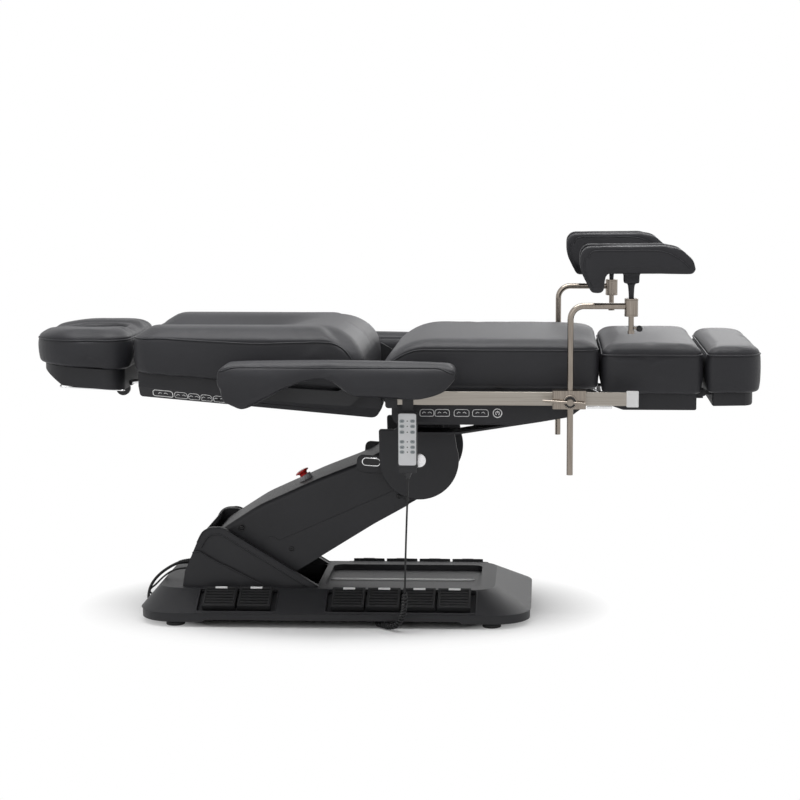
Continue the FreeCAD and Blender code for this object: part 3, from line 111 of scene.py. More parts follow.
# A polyline with its points spaced evenly along it
def evenly(line, count):
    line = np.asarray(line, float)
    steps = np.linalg.norm(np.diff(line, axis=0), axis=1)
    keep = np.concatenate([[True], steps > 1e-9])
    line = line[keep]
    along = np.concatenate([[0], np.cumsum(np.linalg.norm(np.diff(line, axis=0), axis=1))])
    places = np.linspace(0, along[-1], count)
    return np.stack([np.interp(places, along, line[:, k]) for k in range(line.shape[1])], -1)


def smoothStep(t):
    t = np.clip(t, 0, 1)
    return t * t * (3 - 2 * t)


# A tube: a circle carried along a path, turned so that it never twists against a fixed direction
def tubePoints(path, radius, sides=10, closed=False, squash=1.0, up=(0.0, 0.0, 1.0)):
    path = np.asarray(path, float)
    if closed:
        run = np.roll(path, -1, 0) - np.roll(path, 1, 0)
    else:
        run = np.gradient(path, axis=0)
    run /= np.linalg.norm(run, axis=1)[:, None] + 1e-12
    side = np.cross(run, np.asarray(up, float))
    weak = np.linalg.norm(side, axis=1) < 0.05
    side[weak] = np.cross(run[weak], [0.0, 1.0, 0.1])
    side /= np.linalg.norm(side, axis=1)[:, None]
    over = np.cross(side, run)
    angle = np.linspace(0, 2 * math.pi, sides, endpoint=False)
    radius = np.broadcast_to(np.asarray(radius, float), (len(path),))
    ring = (np.cos(angle)[None, :, None] * side[:, None, :]
            + squash * np.sin(angle)[None, :, None] * over[:, None, :])
    return path[:, None, :] + ring * radius[:, None, None]


def tubePiece(name, path, radius, material, body, sides=10, closed=False, squash=1.0, up=(0, 0, 1)):
    rings = tubePoints(path, radius, sides, closed, squash, up)
    rows = len(rings)
    points = rings.reshape(-1, 3)
    faces = gridQuads(rows, sides, closeRows=closed)
    if not closed:
        points = np.vstack([points, rings[0].mean(0), rings[-1].mean(0)])
        faces += fan(0, sides, rows * sides, flip=True) + fan((rows - 1) * sides, sides, rows * sides + 1)
    piece = meshPiece(name, points, faces, material, body)
    outwards(piece)
    return piece


# A profile (radius, height) spun about an axis through a point
def spunPiece(name, profile, centre, axis, material, body, sides=48):
    axis = Vector(axis).normalized()
    side = axis.orthogonal().normalized()
    over = axis.cross(side)
    angle = np.linspace(0, 2 * math.pi, sides, endpoint=False)
    profile = np.asarray(profile, float)
    ring = np.cos(angle)[:, None] * np.array(side) + np.sin(angle)[:, None] * np.array(over)
    points = (np.array(centre) + profile[:, 0][:, None, None] * ring[None]
              + (profile[:, 1][:, None] * np.array(axis))[:, None, :]).reshape(-1, 3)
    faces = gridQuads(len(profile), sides)
    points = np.vstack([points, np.array(centre) + profile[0, 1] * np.array(axis),
                        np.array(centre) + profile[-1, 1] * np.array(axis)])
    last = len(profile) * sides
    faces += fan(0, sides, last, flip=True) + fan(last - sides, sides, last + 1)
    piece = meshPiece(name, points, faces, material, body)
    outwards(piece)
    return piece


def outwards(piece):
    work = bmesh.new()
    work.from_mesh(piece.data)
    bmesh.ops.remove_doubles(work, verts=work.verts, dist=1e-6)
    bmesh.ops.recalc_face_normals(work, faces=work.faces)
    work.to_mesh(piece.data)
    work.free()


# Rows of a rounded block: a flat outline (in a plane) given thickness, with rounded edges
def slabPiece(name, loop, place, low, high, edge, material, body, smooth=True):
    loop = np.asarray(loop, float)
    centre = loop.mean(0)
    normal = np.roll(loop, -1, 0) - np.roll(loop, 1, 0)
    normal = np.stack([normal[:, 1], -normal[:, 0]], -1)
    normal /= np.linalg.norm(normal, axis=1)[:, None]
    if np.sum((loop - centre) * normal) < 0:
        normal = -normal
    steps = np.linspace(0, math.pi / 2, 4)
    rows = [(edge * (1 - math.sin(a)), low + edge * (1 - math.cos(a))) for a in steps]
    rows += [(edge * (1 - math.cos(a)), high - edge * (1 - math.sin(a))) for a in steps]
    points = [np.column_stack([loop - normal * inset, np.full(len(loop), height)]) for inset, height in rows]
    points = np.vstack(points)
    count = len(loop)
    faces = gridQuads(len(rows), count)
    faces.append(list(range(count))[::-1])
    faces.append(list(range((len(rows) - 1) * count, len(rows) * count)))
    piece = meshPiece(name, place(points), faces, material, body, smooth)
    outwards(piece)
    return piece


# Shader groups

def shaderGroup(name, inputs, outputs):
    group = bpy.data.node_groups.new(name, "ShaderNodeTree")
    for label, kind, value in inputs:
        socket = group.interface.new_socket(label, in_out="INPUT", socket_type=kind)
        if value is not None:
            socket.default_value = value
    for label, kind in outputs:
        group.interface.new_socket(label, in_out="OUTPUT", socket_type=kind)
    return group


class Wiring:
    def __init__(self, tree):
        self.tree = tree

    def node(self, kind, **settings):
        made = self.tree.nodes.new(kind)
        for key, value in settings.items():
            setattr(made, key, value)
        return made

    def link(self, source, target):
        self.tree.links.new(source, target)

    def maths(self, operation, a, b=None):
        made = self.node("ShaderNodeMath", operation=operation)
        for k, value in enumerate((a, b)):
            if value is None:
                continue
            if isinstance(value, (int, float)):
                made.inputs[k].default_value = value
            else:
                self.link(value, made.inputs[k])
        return made.outputs[0]

    def ramp(self, source, low, high, fromValue=0.0, toValue=1.0):
        made = self.node("ShaderNodeMapRange", clamp=True)
        made.inputs["From Min"].default_value = low
        made.inputs["From Max"].default_value = high
        made.inputs["To Min"].default_value = fromValue
        made.inputs["To Max"].default_value = toValue
        self.link(source, made.inputs["Value"])
        return made.outputs["Result"]


# Leather grain: small rounded cells with pores between them, and soft broad unevenness
def leatherGrainGroup():
    group = shaderGroup("leatherGrain", [("Vector", "NodeSocketVector", None), ("Cell Scale", "NodeSocketFloat", 900.0)],
                        [("Height", "NodeSocketFloat"), ("Mask", "NodeSocketFloat")])
    w = Wiring(group)
    source = w.node("NodeGroupInput")
    sink = w.node("NodeGroupOutput")
    warp = w.node("ShaderNodeTexNoise")
    warp.inputs["Scale"].default_value = 260.0
    warp.inputs["Detail"].default_value = 2.0
    w.link(source.outputs["Vector"], warp.inputs["Vector"])
    push = w.node("ShaderNodeVectorMath", operation="MULTIPLY_ADD")
    w.link(warp.outputs["Color"], push.inputs[0])
    push.inputs[1].default_value = (0.0016, 0.0016, 0.0016)
    w.link(source.outputs["Vector"], push.inputs[2])
    cells = w.node("ShaderNodeTexVoronoi", feature="SMOOTH_F1")
    cells.inputs["Smoothness"].default_value = 0.35
    w.link(push.outputs["Vector"], cells.inputs["Vector"])
    w.link(source.outputs["Cell Scale"], cells.inputs["Scale"])
    domes = w.ramp(cells.outputs["Distance"], 0.15, 0.75, 1.0, 0.0)
    broad = w.node("ShaderNodeTexNoise")
    broad.inputs["Scale"].default_value = 38.0
    broad.inputs["Detail"].default_value = 3.0
    w.link(source.outputs["Vector"], broad.inputs["Vector"])
    height = w.maths("MULTIPLY_ADD", broad.outputs["Fac"], 1.4)
    w.link(domes, height.node.inputs[2])
    w.link(height, sink.inputs["Height"])
    w.link(domes, sink.inputs["Mask"])
    return group


# Uneven finish: a slow cloud and fine specks, as two masks
def unevenGroup():
    group = shaderGroup("unevenFinish", [("Vector", "NodeSocketVector", None), ("Cloud Scale", "NodeSocketFloat", 6.0),
                                         ("Speck Scale", "NodeSocketFloat", 500.0)],
                        [("Cloud", "NodeSocketFloat"), ("Specks", "NodeSocketFloat")])
    w = Wiring(group)
    source = w.node("NodeGroupInput")
    sink = w.node("NodeGroupOutput")
    cloud = w.node("ShaderNodeTexNoise")
    cloud.inputs["Detail"].default_value = 4.0
    specks = w.node("ShaderNodeTexNoise")
    specks.inputs["Detail"].default_value = 1.0
    for made, scale in ((cloud, "Cloud Scale"), (specks, "Speck Scale")):
        w.link(source.outputs["Vector"], made.inputs["Vector"])
        w.link(source.outputs[scale], made.inputs["Scale"])
    w.link(w.ramp(cloud.outputs["Fac"], 0.3, 0.7), sink.inputs["Cloud"])
    w.link(w.ramp(specks.outputs["Fac"], 0.35, 0.7), sink.inputs["Specks"])
    return group


# Brushed lines that run along one axis of the piece
def brushedGroup():
    group = shaderGroup("brushedLines", [("Vector", "NodeSocketVector", None)],
                        [("Lines", "NodeSocketFloat"), ("Cloud", "NodeSocketFloat")])
    w = Wiring(group)
    source = w.node("NodeGroupInput")
    sink = w.node("NodeGroupOutput")
    lines = w.node("ShaderNodeTexNoise")
    lines.inputs["Scale"].default_value = 1.0
    lines.inputs["Detail"].default_value = 3.0
    w.link(source.outputs["Vector"], lines.inputs["Vector"])
    cloud = w.node("ShaderNodeTexNoise")
    cloud.inputs["Scale"].default_value = 0.02
    w.link(source.outputs["Vector"], cloud.inputs["Vector"])
    w.link(lines.outputs["Fac"], sink.inputs["Lines"])
    w.link(cloud.outputs["Fac"], sink.inputs["Cloud"])
    return group


grain = leatherGrainGroup()
uneven = unevenGroup()
brushed = brushedGroup()
print("stage: shader groups")


# A material with its shader, and its object coordinates ready to use
def startMaterial(name, settings):
    material = bpy.data.materials.new(name)
    material.use_nodes = True
    w = Wiring(material.node_tree)
    shader = material.node_tree.nodes["Principled BSDF"]
    for key, value in settings.items():
        shader.inputs[key].default_value = value
    coords = w.node("ShaderNodeTexCoord").outputs["Object"]
    return material, w, shader, coords


def placed(w, group, coords):
    made = w.node("ShaderNodeGroup")
    made.node_tree = group
    w.link(coords, made.inputs["Vector"])
    return made


def blendColours(w, mask, dark, light, target):
    mix = w.node("ShaderNodeMix", data_type="RGBA")
    w.link(mask, mix.inputs["Factor"])
    mix.inputs["A"].default_value = (*dark, 1)
    mix.inputs["B"].default_value = (*light, 1)
    w.link(mix.outputs["Result"], target)


def bumpFrom(w, height, strength, distance, shader):
    bump = w.node("ShaderNodeBump")
    bump.inputs["Strength"].default_value = strength
    bump.inputs["Distance"].default_value = distance
    w.link(height, bump.inputs["Height"])
    w.link(bump.outputs["Normal"], shader.inputs["Normal"])


# Charcoal leather, in one tone for the pads and a lighter copy for the welts, whose lighter colour is a painted
# highlight along the piping
leatherLook = {"roughness": (0.40, 0.54), "cellScale": 780.0, "bump": 0.30}


def leatherMaterial(name, dark, light):
    material, w, shader, coords = startMaterial(name, {"Specular IOR Level": 0.30})
    cells = placed(w, grain, coords)
    cells.inputs["Cell Scale"].default_value = leatherLook["cellScale"]
    cloud = placed(w, uneven, coords)
    cloud.inputs["Cloud Scale"].default_value = 5.0
    blendColours(w, cloud.outputs["Cloud"], dark, light, shader.inputs["Base Color"])
    w.link(w.ramp(cells.outputs["Mask"], 0, 1, leatherLook["roughness"][1], leatherLook["roughness"][0]),
           shader.inputs["Roughness"])
    bumpFrom(w, cells.outputs["Height"], leatherLook["bump"], 0.0006, shader)
    return material


def mouldedMaterial(name, dark, light, roughness, speckScale=1100.0, bump=0.25, settings=None):
    material, w, shader, coords = startMaterial(name, {"Specular IOR Level": 0.34, **(settings or {})})
    finish = placed(w, uneven, coords)
    finish.inputs["Cloud Scale"].default_value = 7.0
    finish.inputs["Speck Scale"].default_value = speckScale
    blendColours(w, finish.outputs["Cloud"], dark, light, shader.inputs["Base Color"])
    w.link(w.ramp(finish.outputs["Specks"], 0, 1, roughness[0], roughness[1]), shader.inputs["Roughness"])
    bumpFrom(w, finish.outputs["Specks"], bump, 0.0003, shader)
    return material


def brushedMaterial(name, dark, light, roughness, stretch, bump=0.06):
    material, w, shader, coords = startMaterial(name, {"Metallic": 1.0})
    mapping = w.node("ShaderNodeMapping")
    mapping.inputs["Scale"].default_value = stretch
    w.link(coords, mapping.inputs["Vector"])
    lines = placed(w, brushed, mapping.outputs["Vector"])
    blendColours(w, w.ramp(lines.outputs["Lines"], 0.3, 0.7), dark, light, shader.inputs["Base Color"])
    w.link(w.ramp(lines.outputs["Lines"], 0.3, 0.7, roughness[0], roughness[1]), shader.inputs["Roughness"])
    bumpFrom(w, lines.outputs["Lines"], bump, 0.0002, shader)
    return material


leather = leatherMaterial("charcoalLeather", (0.015, 0.015, 0.0175), (0.021, 0.021, 0.0245))
# the welts' leather is the pads' leather made lighter: a painted highlight along the piping
pipingLeatherPaintedHighlight = leatherMaterial("pipingLeather_paintedHighlight", (0.020, 0.020, 0.023), (0.030, 0.030, 0.034))
coverBlack = mouldedMaterial("texturedCover", (0.012, 0.012, 0.014), (0.017, 0.017, 0.0195), (0.44, 0.60))
shellBlack = mouldedMaterial("shellMoulding", (0.011, 0.011, 0.013), (0.015, 0.015, 0.0175), (0.44, 0.60), 1500.0, 0.18)
pedalRubber = mouldedMaterial("pedalRubber", (0.009, 0.009, 0.010), (0.014, 0.014, 0.015), (0.50, 0.70), 900.0, 0.3)
powderCoat = mouldedMaterial("powderCoat", (0.014, 0.014, 0.015), (0.019, 0.019, 0.021), (0.40, 0.58), 1800.0, 0.3)
railSteel = brushedMaterial("railSteel", (0.29, 0.265, 0.235), (0.36, 0.332, 0.296), (0.26, 0.36), (5, 700, 700), 0.04)
holderSteel = brushedMaterial("holderSteel", (0.20, 0.172, 0.146), (0.34, 0.300, 0.260), (0.16, 0.26), (900, 900, 16))
polished = brushedMaterial("polishedSteel", (0.70, 0.70, 0.71), (0.80, 0.80, 0.81), (0.07, 0.14), (200, 200, 200), 0.02)
whitePlastic = mouldedMaterial("whitePlastic", (0.70, 0.70, 0.70), (0.76, 0.76, 0.76), (0.38, 0.50), 900.0, 0.08)
stopRed = mouldedMaterial("stopRed", (0.56, 0.012, 0.010), (0.66, 0.018, 0.014), (0.20, 0.30), 600.0, 0.03,
                          {"Coat Weight": 0.3, "Coat Roughness": 0.12})
stopGrey = mouldedMaterial("stopCollar", (0.38, 0.38, 0.39), (0.46, 0.46, 0.47), (0.35, 0.5), 900.0, 0.1)
handsetBlack = mouldedMaterial("handsetBody", (0.016, 0.016, 0.018), (0.022, 0.022, 0.024), (0.38, 0.52), 1200.0, 0.12)
handsetFilm = mouldedMaterial("handsetFilm", (0.56, 0.565, 0.575), (0.62, 0.625, 0.635), (0.34, 0.46), 1500.0, 0.05)
keyFilm = mouldedMaterial("keyFilm", (0.24, 0.27, 0.28), (0.28, 0.31, 0.32), (0.34, 0.44), 1500.0, 0.05)
printWhite = mouldedMaterial("printWhite", (0.80, 0.80, 0.80), (0.86, 0.86, 0.86), (0.45, 0.6), 800.0, 0.03)
printGrey = mouldedMaterial("printGrey", (0.17, 0.17, 0.18), (0.22, 0.22, 0.23), (0.5, 0.6), 800.0, 0.03)
printBlack = mouldedMaterial("printBlack", (0.012, 0.012, 0.014), (0.018, 0.018, 0.02), (0.45, 0.6), 800.0, 0.03)
cableBlack = mouldedMaterial("cableJacket", (0.006, 0.006, 0.007), (0.010, 0.010, 0.011), (0.42, 0.55), 1400.0, 0.12)
screwBlack = mouldedMaterial("screwBlack", (0.008, 0.008, 0.009), (0.013, 0.013, 0.014), (0.26, 0.36), 900.0, 0.1)
print("stage: materials")


# The frame's own pieces get their finishes

nodeFinish = {
    "base_cover": (coverBlack, "cover"), "hood": (coverBlack, "cover"), "arm_cover": (coverBlack, "cover"),
    "head_covers": (coverBlack, "cover"), "seat_shell": (shellBlack, "cover"), "back_shell": (shellBlack, "cover"),
    "leg_shell": (shellBlack, "cover"), "foot_shell": (shellBlack, "cover"), "headrest_shell": (shellBlack, "cover"),
    "levelling_feet": (pedalRubber, "pedal_rubber"), "base_frame": (powderCoat, "frame_steel"),
    "arm_bracket": (powderCoat, "frame_steel"), "arm_beam": (powderCoat, "frame_steel"),
    "lift_motor": (powderCoat, "frame_steel"), "tie_rod": (powderCoat, "frame_steel"),
    "head_block": (powderCoat, "frame_steel"), "seat_frame": (powderCoat, "frame_steel"),
    "seat_motors": (powderCoat, "frame_steel"), "seat_side_plates": (powderCoat, "frame_steel"),
    "back_brackets": (powderCoat, "frame_steel"), "headrest_knob": (screwBlack, "frame_steel"),
    "lift_rod": (polished, "polished"), "levelling_shaft": (polished, "polished"),
    "headrest_rods": (polished, "polished"), "leg_slides": (polished, "polished"),
    "side_rails": (railSteel, "bright_steel"), "rail_end_caps": (whitePlastic, "white_cap"),
    "stop_button": (stopRed, "stop_red"), "handset": (handsetBlack, "handset_body"),
    "mains_plug": (cableBlack, "lead_black"),
}
for side in ("near", "far"):
    for part in ("clamp", "screw", "rod"):
        nodeFinish["holder_" + part + "_" + side] = (holderSteel, "bright_steel")
for name in nodes:
    if name.startswith("pedal_"):
        nodeFinish[name] = (pedalRubber, "pedal_rubber")


# Each node's materials are replaced by its finish
def finishNode(name, material):
    node = nodes[name]
    node.data.materials.clear()
    node.data.materials.append(material)


for name, (material, slotName) in nodeFinish.items():
    finishNode(name, material)
print("stage: frame finishes")


# Where a straight line from outside meets a node or a piece
def surfaceOf(piece):
    depsgraph = bpy.context.evaluated_depsgraph_get()
    return BVHTree.FromObject(piece, depsgraph)


def castPoints(tree, starts, direction):
    found = []
    for start in np.asarray(starts, float):
        place, normal, _, _ = tree.ray_cast(Vector(start), Vector(direction))
        found.append(list(place) if place else [math.nan] * 3)
    found = np.array(found)
    good = ~np.isnan(found[:, 0])
    for axis in range(3):
        found[:, axis] = np.interp(np.arange(len(found)), np.flatnonzero(good), found[good, axis])
    return found


# Padded pieces

# A pad over a plan outline. Rows go up from the underside's middle, round the lower edge, up the wall,
# over the rounded shoulder from the seam, and across the top to its middle, or to the rim of a hole and down it.
def padPiece(name, pad):
    loop = pad["plan"]
    count = len(loop)
    centre = (loop.max(0) + loop.min(0)) / 2
    half = (loop.max(0) - loop.min(0)) / 2
    seam = pad["seam"](loop[:, 0], loop[:, 1])
    shoulder = np.broadcast_to(pad["shoulder"](loop[:, 0], loop[:, 1]), (count,))
    lowEdge = pad["lowEdge"]

    def ring(inset):
        inset = np.broadcast_to(inset, (count,))[:, None]
        return centre + (loop - centre) * (1 - inset / half)

    rows = []
    hole = pad.get("hole")
    if hole is not None:
        angle = np.arctan2((loop[:, 1] - centre[1]) / half[1], (loop[:, 0] - centre[0]) / half[0])
        rim = np.stack([hole["x"] + hole["length"] / 2 * np.cos(angle), hole["width"] / 2 * np.sin(angle)], -1)
    for share in np.linspace(0.0, 1.0, 12)[1:]:
        inner = ring(lowEdge)
        flat = centre + (inner - centre) * share if hole is None else rim * (1 - share) + inner * share
        rows.append((flat, pad["low"](flat[:, 0], flat[:, 1])))
    for turn in np.linspace(0, math.pi / 2, 6)[1:]:
        flat = ring(lowEdge * (1 - math.sin(turn)))
        rows.append((flat, pad["low"](flat[:, 0], flat[:, 1]) + lowEdge * (1 - math.cos(turn))))
    for share in np.linspace(0, 1, 9)[1:]:
        flat = ring(-pad["bulge"] * math.sin(math.pi * share) + 0 * shoulder)
        base = pad["low"](flat[:, 0], flat[:, 1]) + lowEdge
        rows.append((flat, base + (seam - base) * share))
    for turn in np.linspace(0, math.pi / 2, 10)[1:]:
        flat = ring(shoulder * (1 - math.cos(turn)))
        top = pad["top"](flat[:, 0], flat[:, 1])
        rows.append((flat, seam + (top - seam) * math.sin(turn)))
    edge = ring(shoulder)
    if hole is None:
        for share in np.linspace(1, 0, 30)[1:-1]:
            flat = centre + (edge - centre) * share
            rows.append((flat, pad["top"](flat[:, 0], flat[:, 1])))
    else:
        middle = np.array([hole["x"], 0.0])
        lip = middle + (rim - middle) * (1 + hole["lip"] / (hole["width"] / 2))
        for share in np.linspace(0, 1, 16)[1:]:
            flat = edge * (1 - share) + lip * share
            rows.append((flat, pad["top"](flat[:, 0], flat[:, 1])))
        topLip = pad["top"](lip[:, 0], lip[:, 1])
        for turn in np.linspace(0, math.pi / 2, 6)[1:]:
            flat = lip + (rim - lip) * math.sin(turn)
            rows.append((flat, topLip - hole["lip"] * (1 - math.cos(turn))))
        low = pad["low"](rim[:, 0], rim[:, 1])
        for share in np.linspace(0, 1, 7)[1:]:
            rows.append((rim, (topLip - hole["lip"]) * (1 - share) + low * share))
    points = np.vstack([np.column_stack([flat, height]) for flat, height in rows])
    if hole is None:
        faces = gridQuads(len(rows), count)
        low = pad["low"](centre[:1], centre[1:])[0]
        top = pad["top"](centre[:1], centre[1:])[0]
        points = np.vstack([points, [*centre, low], [*centre, top]])
        last = len(rows) * count
        faces += fan(0, count, last, flip=True) + fan(last - count, count, last + 1)
    else:
        faces = gridQuads(len(rows), count, closeRows=True)
    piece = meshPiece(name, points, faces, None, None)
    outwards(piece)
    return piece


# A closed pad is meshed again in even cells, then swelled a little as cloth, each point by no more than a cap
def puffed(piece, cell, cap, pressure=4.0, relax=0):
    useOnly(piece)
    piece.data.remesh_voxel_size = cell
    bpy.ops.object.voxel_remesh()
    if relax:
        smoother = piece.modifiers.new("relax", "SMOOTH")
        smoother.factor = 0.5
        smoother.iterations = relax
        bpy.ops.object.modifier_apply(modifier=smoother.name)
    count = len(piece.data.vertices)
    before = np.zeros(count * 3, np.float32)
    piece.data.vertices.foreach_get("co", before)
    before = before.reshape(-1, 3)
    cloth = piece.modifiers.new("cloth", "CLOTH")
    cloth.settings.use_pressure = True
    cloth.settings.uniform_pressure_force = pressure
    cloth.settings.effector_weights.gravity = 0
    cloth.settings.tension_stiffness = 40
    cloth.settings.compression_stiffness = 40
    cloth.settings.quality = 4
    cloth.point_cache.frame_start = 1
    cloth.point_cache.frame_end = 20
    scene = bpy.context.scene
    for step in range(1, 21):
        scene.frame_set(step)
    shape = piece.evaluated_get(bpy.context.evaluated_depsgraph_get()).to_mesh()
    after = np.zeros(count * 3, np.float32)
    shape.vertices.foreach_get("co", after)
    piece.modifiers.remove(cloth)
    scene.frame_set(1)
    move = after.reshape(-1, 3) - before
    size = np.linalg.norm(move, axis=1)[:, None] + 1e-9
    before = before + move / size * (cap * np.tanh(size / cap))
    piece.data.vertices.foreach_set("co", before.astype(np.float32).ravel())
    finer = piece.modifiers.new("finer", "SUBSURF")
    finer.levels = finer.render_levels = 1
    bpy.ops.object.modifier_apply(modifier=finer.name)
    piece.data.polygons.foreach_set("use_smooth", np.ones(len(piece.data.polygons), bool))
    piece.data.update()


def useOnly(piece):
    bpy.ops.object.select_all(action="DESELECT")
    bpy.context.view_layer.objects.active = piece
    piece.select_set(True)


def pointsOf(piece):
    out = np.zeros(len(piece.data.vertices) * 3, np.float32)
    piece.data.vertices.foreach_get("co", out)
    return out.reshape(-1, 3).astype(float)


def normalsOf(piece):
    out = np.zeros(len(piece.data.vertices) * 3, np.float32)
    piece.data.vertices.foreach_get("normal", out)
    return out.reshape(-1, 3).astype(float)


# Points near a line are pressed in along their normals, deepest on the line
def pressLine(piece, line, depth, width):
    points = pointsOf(piece)
    normals = normalsOf(piece)
    low, high = line.min(0) - 3 * width, line.max(0) + 3 * width
    near = np.flatnonzero(np.all((points > low) & (points < high), axis=1))
    for part in np.array_split(near, max(1, len(near) // 3000)):
        gap = np.linalg.norm(points[part][:, None, :] - line[None, :, :], axis=2).min(1)
        points[part] -= normals[part] * (depth * np.exp(-(gap / width) ** 2))[:, None]
    piece.data.vertices.foreach_set("co", points.astype(np.float32).ravel())
    piece.data.update()


# A welt sewn along a line on a pad, sunk to a third of its thickness
def sewnWelt(name, piece, line, radius, body, closed, depth=0.0016, width=0.0035, material=None):
    pressLine(piece, evenly(line, max(60, len(line) * 2)), depth, width)
    # welts default to the lighter leather, a painted highlight along the piping
    tube = tubePiece(name, line, radius, material or pipingLeatherPaintedHighlight, body, sides=8, closed=closed)
    return tube


def dressPad(piece, body, nodeName):
    piece.data.materials.clear()
    piece.data.materials.append(leather)
    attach(piece, body)
    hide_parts(nodeName)


# Line round a pad at its seam: cast inwards from outside at each point of the plan outline
def seamLine(piece, loop, height, proud=0.0):
    tree = surfaceOf(piece)
    centre = (loop.max(0) + loop.min(0)) / 2
    out = []
    for (x, y), z in zip(loop, height):
        away = Vector((x - centre[0], y - centre[1], 0))
        step = Vector((0, 0, 0))
        nearEnd = abs(away.x) / (loop[:, 0].max() - centre[0]) > abs(away.y) / (loop[:, 1].max() - centre[1])
        direction = Vector((away.x, away.y, 0)).normalized()
        start = Vector((x, y, z)) + direction * 0.05
        place, normal, _, _ = tree.ray_cast(start, -direction)
        out.append(list(place + normal * proud) if place else [x, y, z])
    return np.array(out)


# Seat pad
seatPad = {"left": -0.034, "right": 0.545, "half": 0.297, "low": 0.641, "seam": 0.743, "top": 0.768}


def seatSeam(x, y):
    t = np.clip((x - seatPad["left"]) / 0.12, 0, 1)
    return seatPad["seam"] - 0.070 * (1 - t) ** 1.9


def seatTop(x, y):
    t = np.clip((x - seatPad["left"]) / 0.16, 0, 1)
    fall = 0.074 * (1 - t) ** 2.6
    return seatPad["top"] - fall - 0.003 * (y / seatPad["half"]) ** 2 - 0.004 * smoothStep((x - 0.40) / 0.15)


def makeSeatPad():
    s = seatPad
    plan = roundLoop([(s["left"], -s["half"], 0.045), (s["right"], -s["half"], 0.034),
                      (s["right"], s["half"], 0.034), (s["left"], s["half"], 0.045)], 320)
    piece = padPiece("seatPad", {"plan": plan, "seam": seatSeam, "top": seatTop, "lowEdge": 0.010, "bulge": 0.002,
                                 "low": lambda x, y: s["low"] + 0.022 * smoothStep((-0.012 - x) / 0.024)
                                 + 0.004 * np.exp(-((x - 0.096) / 0.07) ** 2) * smoothStep((0.25 - np.abs(y)) / 0.04),
                                 "shoulder": lambda x, y: 0.040 + 0 * x})
    puffed(piece, 0.008, 0.004)
    line = seamLine(piece, evenly(np.vstack([plan, plan[:1]]), 361)[:-1], seatSeam(*evenly(
        np.vstack([plan, plan[:1]]), 361)[:-1].T) - 0.001)
    dressPad(piece, "seat", "seat_cushion")
    sewnWelt("seatWelt", piece, line, 0.0019, "seat", True)


# Back pad: two bolsters with a trough between them that fades towards the hips, where the top rolls over
backPad = {"left": -0.672, "right": -0.062, "half": 0.297, "seam": 0.761, "crest": 0.793, "trough": 0.036}


def backLow(x, y):
    return 0.6790 - 0.0849 * (x + 0.658)


def backSeam(x, y):
    roll = smoothStep((x + 0.165) / 0.10)
    return backPad["seam"] * (1 - roll) + 0.700 * roll + 0.006 * smoothStep((-0.45 - x) / 0.2)


def backTop(x, y):
    fade = 1 - smoothStep((x + 0.37) / 0.19)
    across = 1 - smoothStep((np.abs(y) - 0.055) / 0.135)
    outer = 0.010 * smoothStep((np.abs(y) - 0.22) / 0.08)
    end = 0.008 * smoothStep((-0.615 - x) / 0.05)
    return backPad["crest"] - backPad["trough"] * fade * across - outer - end


def makeBackPad():
    s = backPad
    plan = roundLoop([(s["left"], -s["half"], 0.055), (s["right"], -s["half"], 0.040),
                      (s["right"], s["half"], 0.040), (s["left"], s["half"], 0.055)], 320)
    piece = padPiece("backPad", {"plan": plan, "seam": backSeam, "top": backTop, "low": backLow, "lowEdge": 0.012,
                                 "bulge": 0.002, "shoulder": lambda x, y: 0.046 + 0.072 * smoothStep((x + 0.17) / 0.08)})
    puffed(piece, 0.008, 0.004)
    tree = surfaceOf(piece)
    dressPad(piece, "back", "back_cushion")
    heights = [(-0.646, 0.768), (-0.595, 0.7695), (-0.525, 0.7655), (-0.440, 0.761), (-0.345, 0.757), (-0.232, 0.760),
               (-0.174, 0.761), (-0.141, 0.757), (-0.111, 0.738), (-0.093, 0.712), (-0.084, 0.680), (-0.081, 0.645)]
    side = evenly(softLine(heights, 90), 150)
    end = seamLine(piece, roundLoop([(s["left"], -s["half"], 0.055), (-0.636, -s["half"], 0.0), (-0.636, s["half"], 0.0),
                                     (s["left"], s["half"], 0.055)], 300), np.full(300, 0.768))
    near = castPoints(tree, np.column_stack([side[:, 0], np.full(len(side), -0.4), side[:, 1]]), (0, 1, 0))
    far = castPoints(tree, np.column_stack([side[:, 0], np.full(len(side), 0.4), side[:, 1]]), (0, -1, 0))
    keep = end[end[:, 0] < -0.647]
    order = np.argsort(keep[:, 1])
    line = np.vstack([near[::-1], keep[order], far])
    line = evenly(line, 420)
    sewnWelt("backWelt", piece, line, 0.0019, "back", False)


# A smooth line through points, by a spline with even parameters
def softLine(points, count):
    points = np.asarray(points, float)
    padded = np.vstack([2 * points[0] - points[1], points, 2 * points[-1] - points[-2]])
    t = np.linspace(0, len(points) - 1 - 1e-9, count)
    k = t.astype(int)
    u = (t - k)[:, None]
    a, b, c, d = padded[k], padded[k + 1], padded[k + 2], padded[k + 3]
    return 0.5 * (2 * b + (c - a) * u + (2 * a - 5 * b + 4 * c - d) * u ** 2 + (3 * b - a - 3 * c + d) * u ** 3)


# Leg pad and foot pad: flat boxes with a piped edge, the foot's end in two lobes
legPad = {"left": 0.550, "right": 0.812, "half": 0.288, "low": 0.628, "seam": 0.729, "top": 0.759}
footPad = {"left": 0.822, "right": 0.964, "half": 0.283, "low": 0.631, "seam": 0.729, "top": 0.754}


def flatTop(s):
    middle = (s["left"] + s["right"]) / 2
    reach = (s["right"] - s["left"]) / 2
    return lambda x, y: s["top"] - 0.003 * (y / s["half"]) ** 2 - 0.003 * ((x - middle) / reach) ** 2


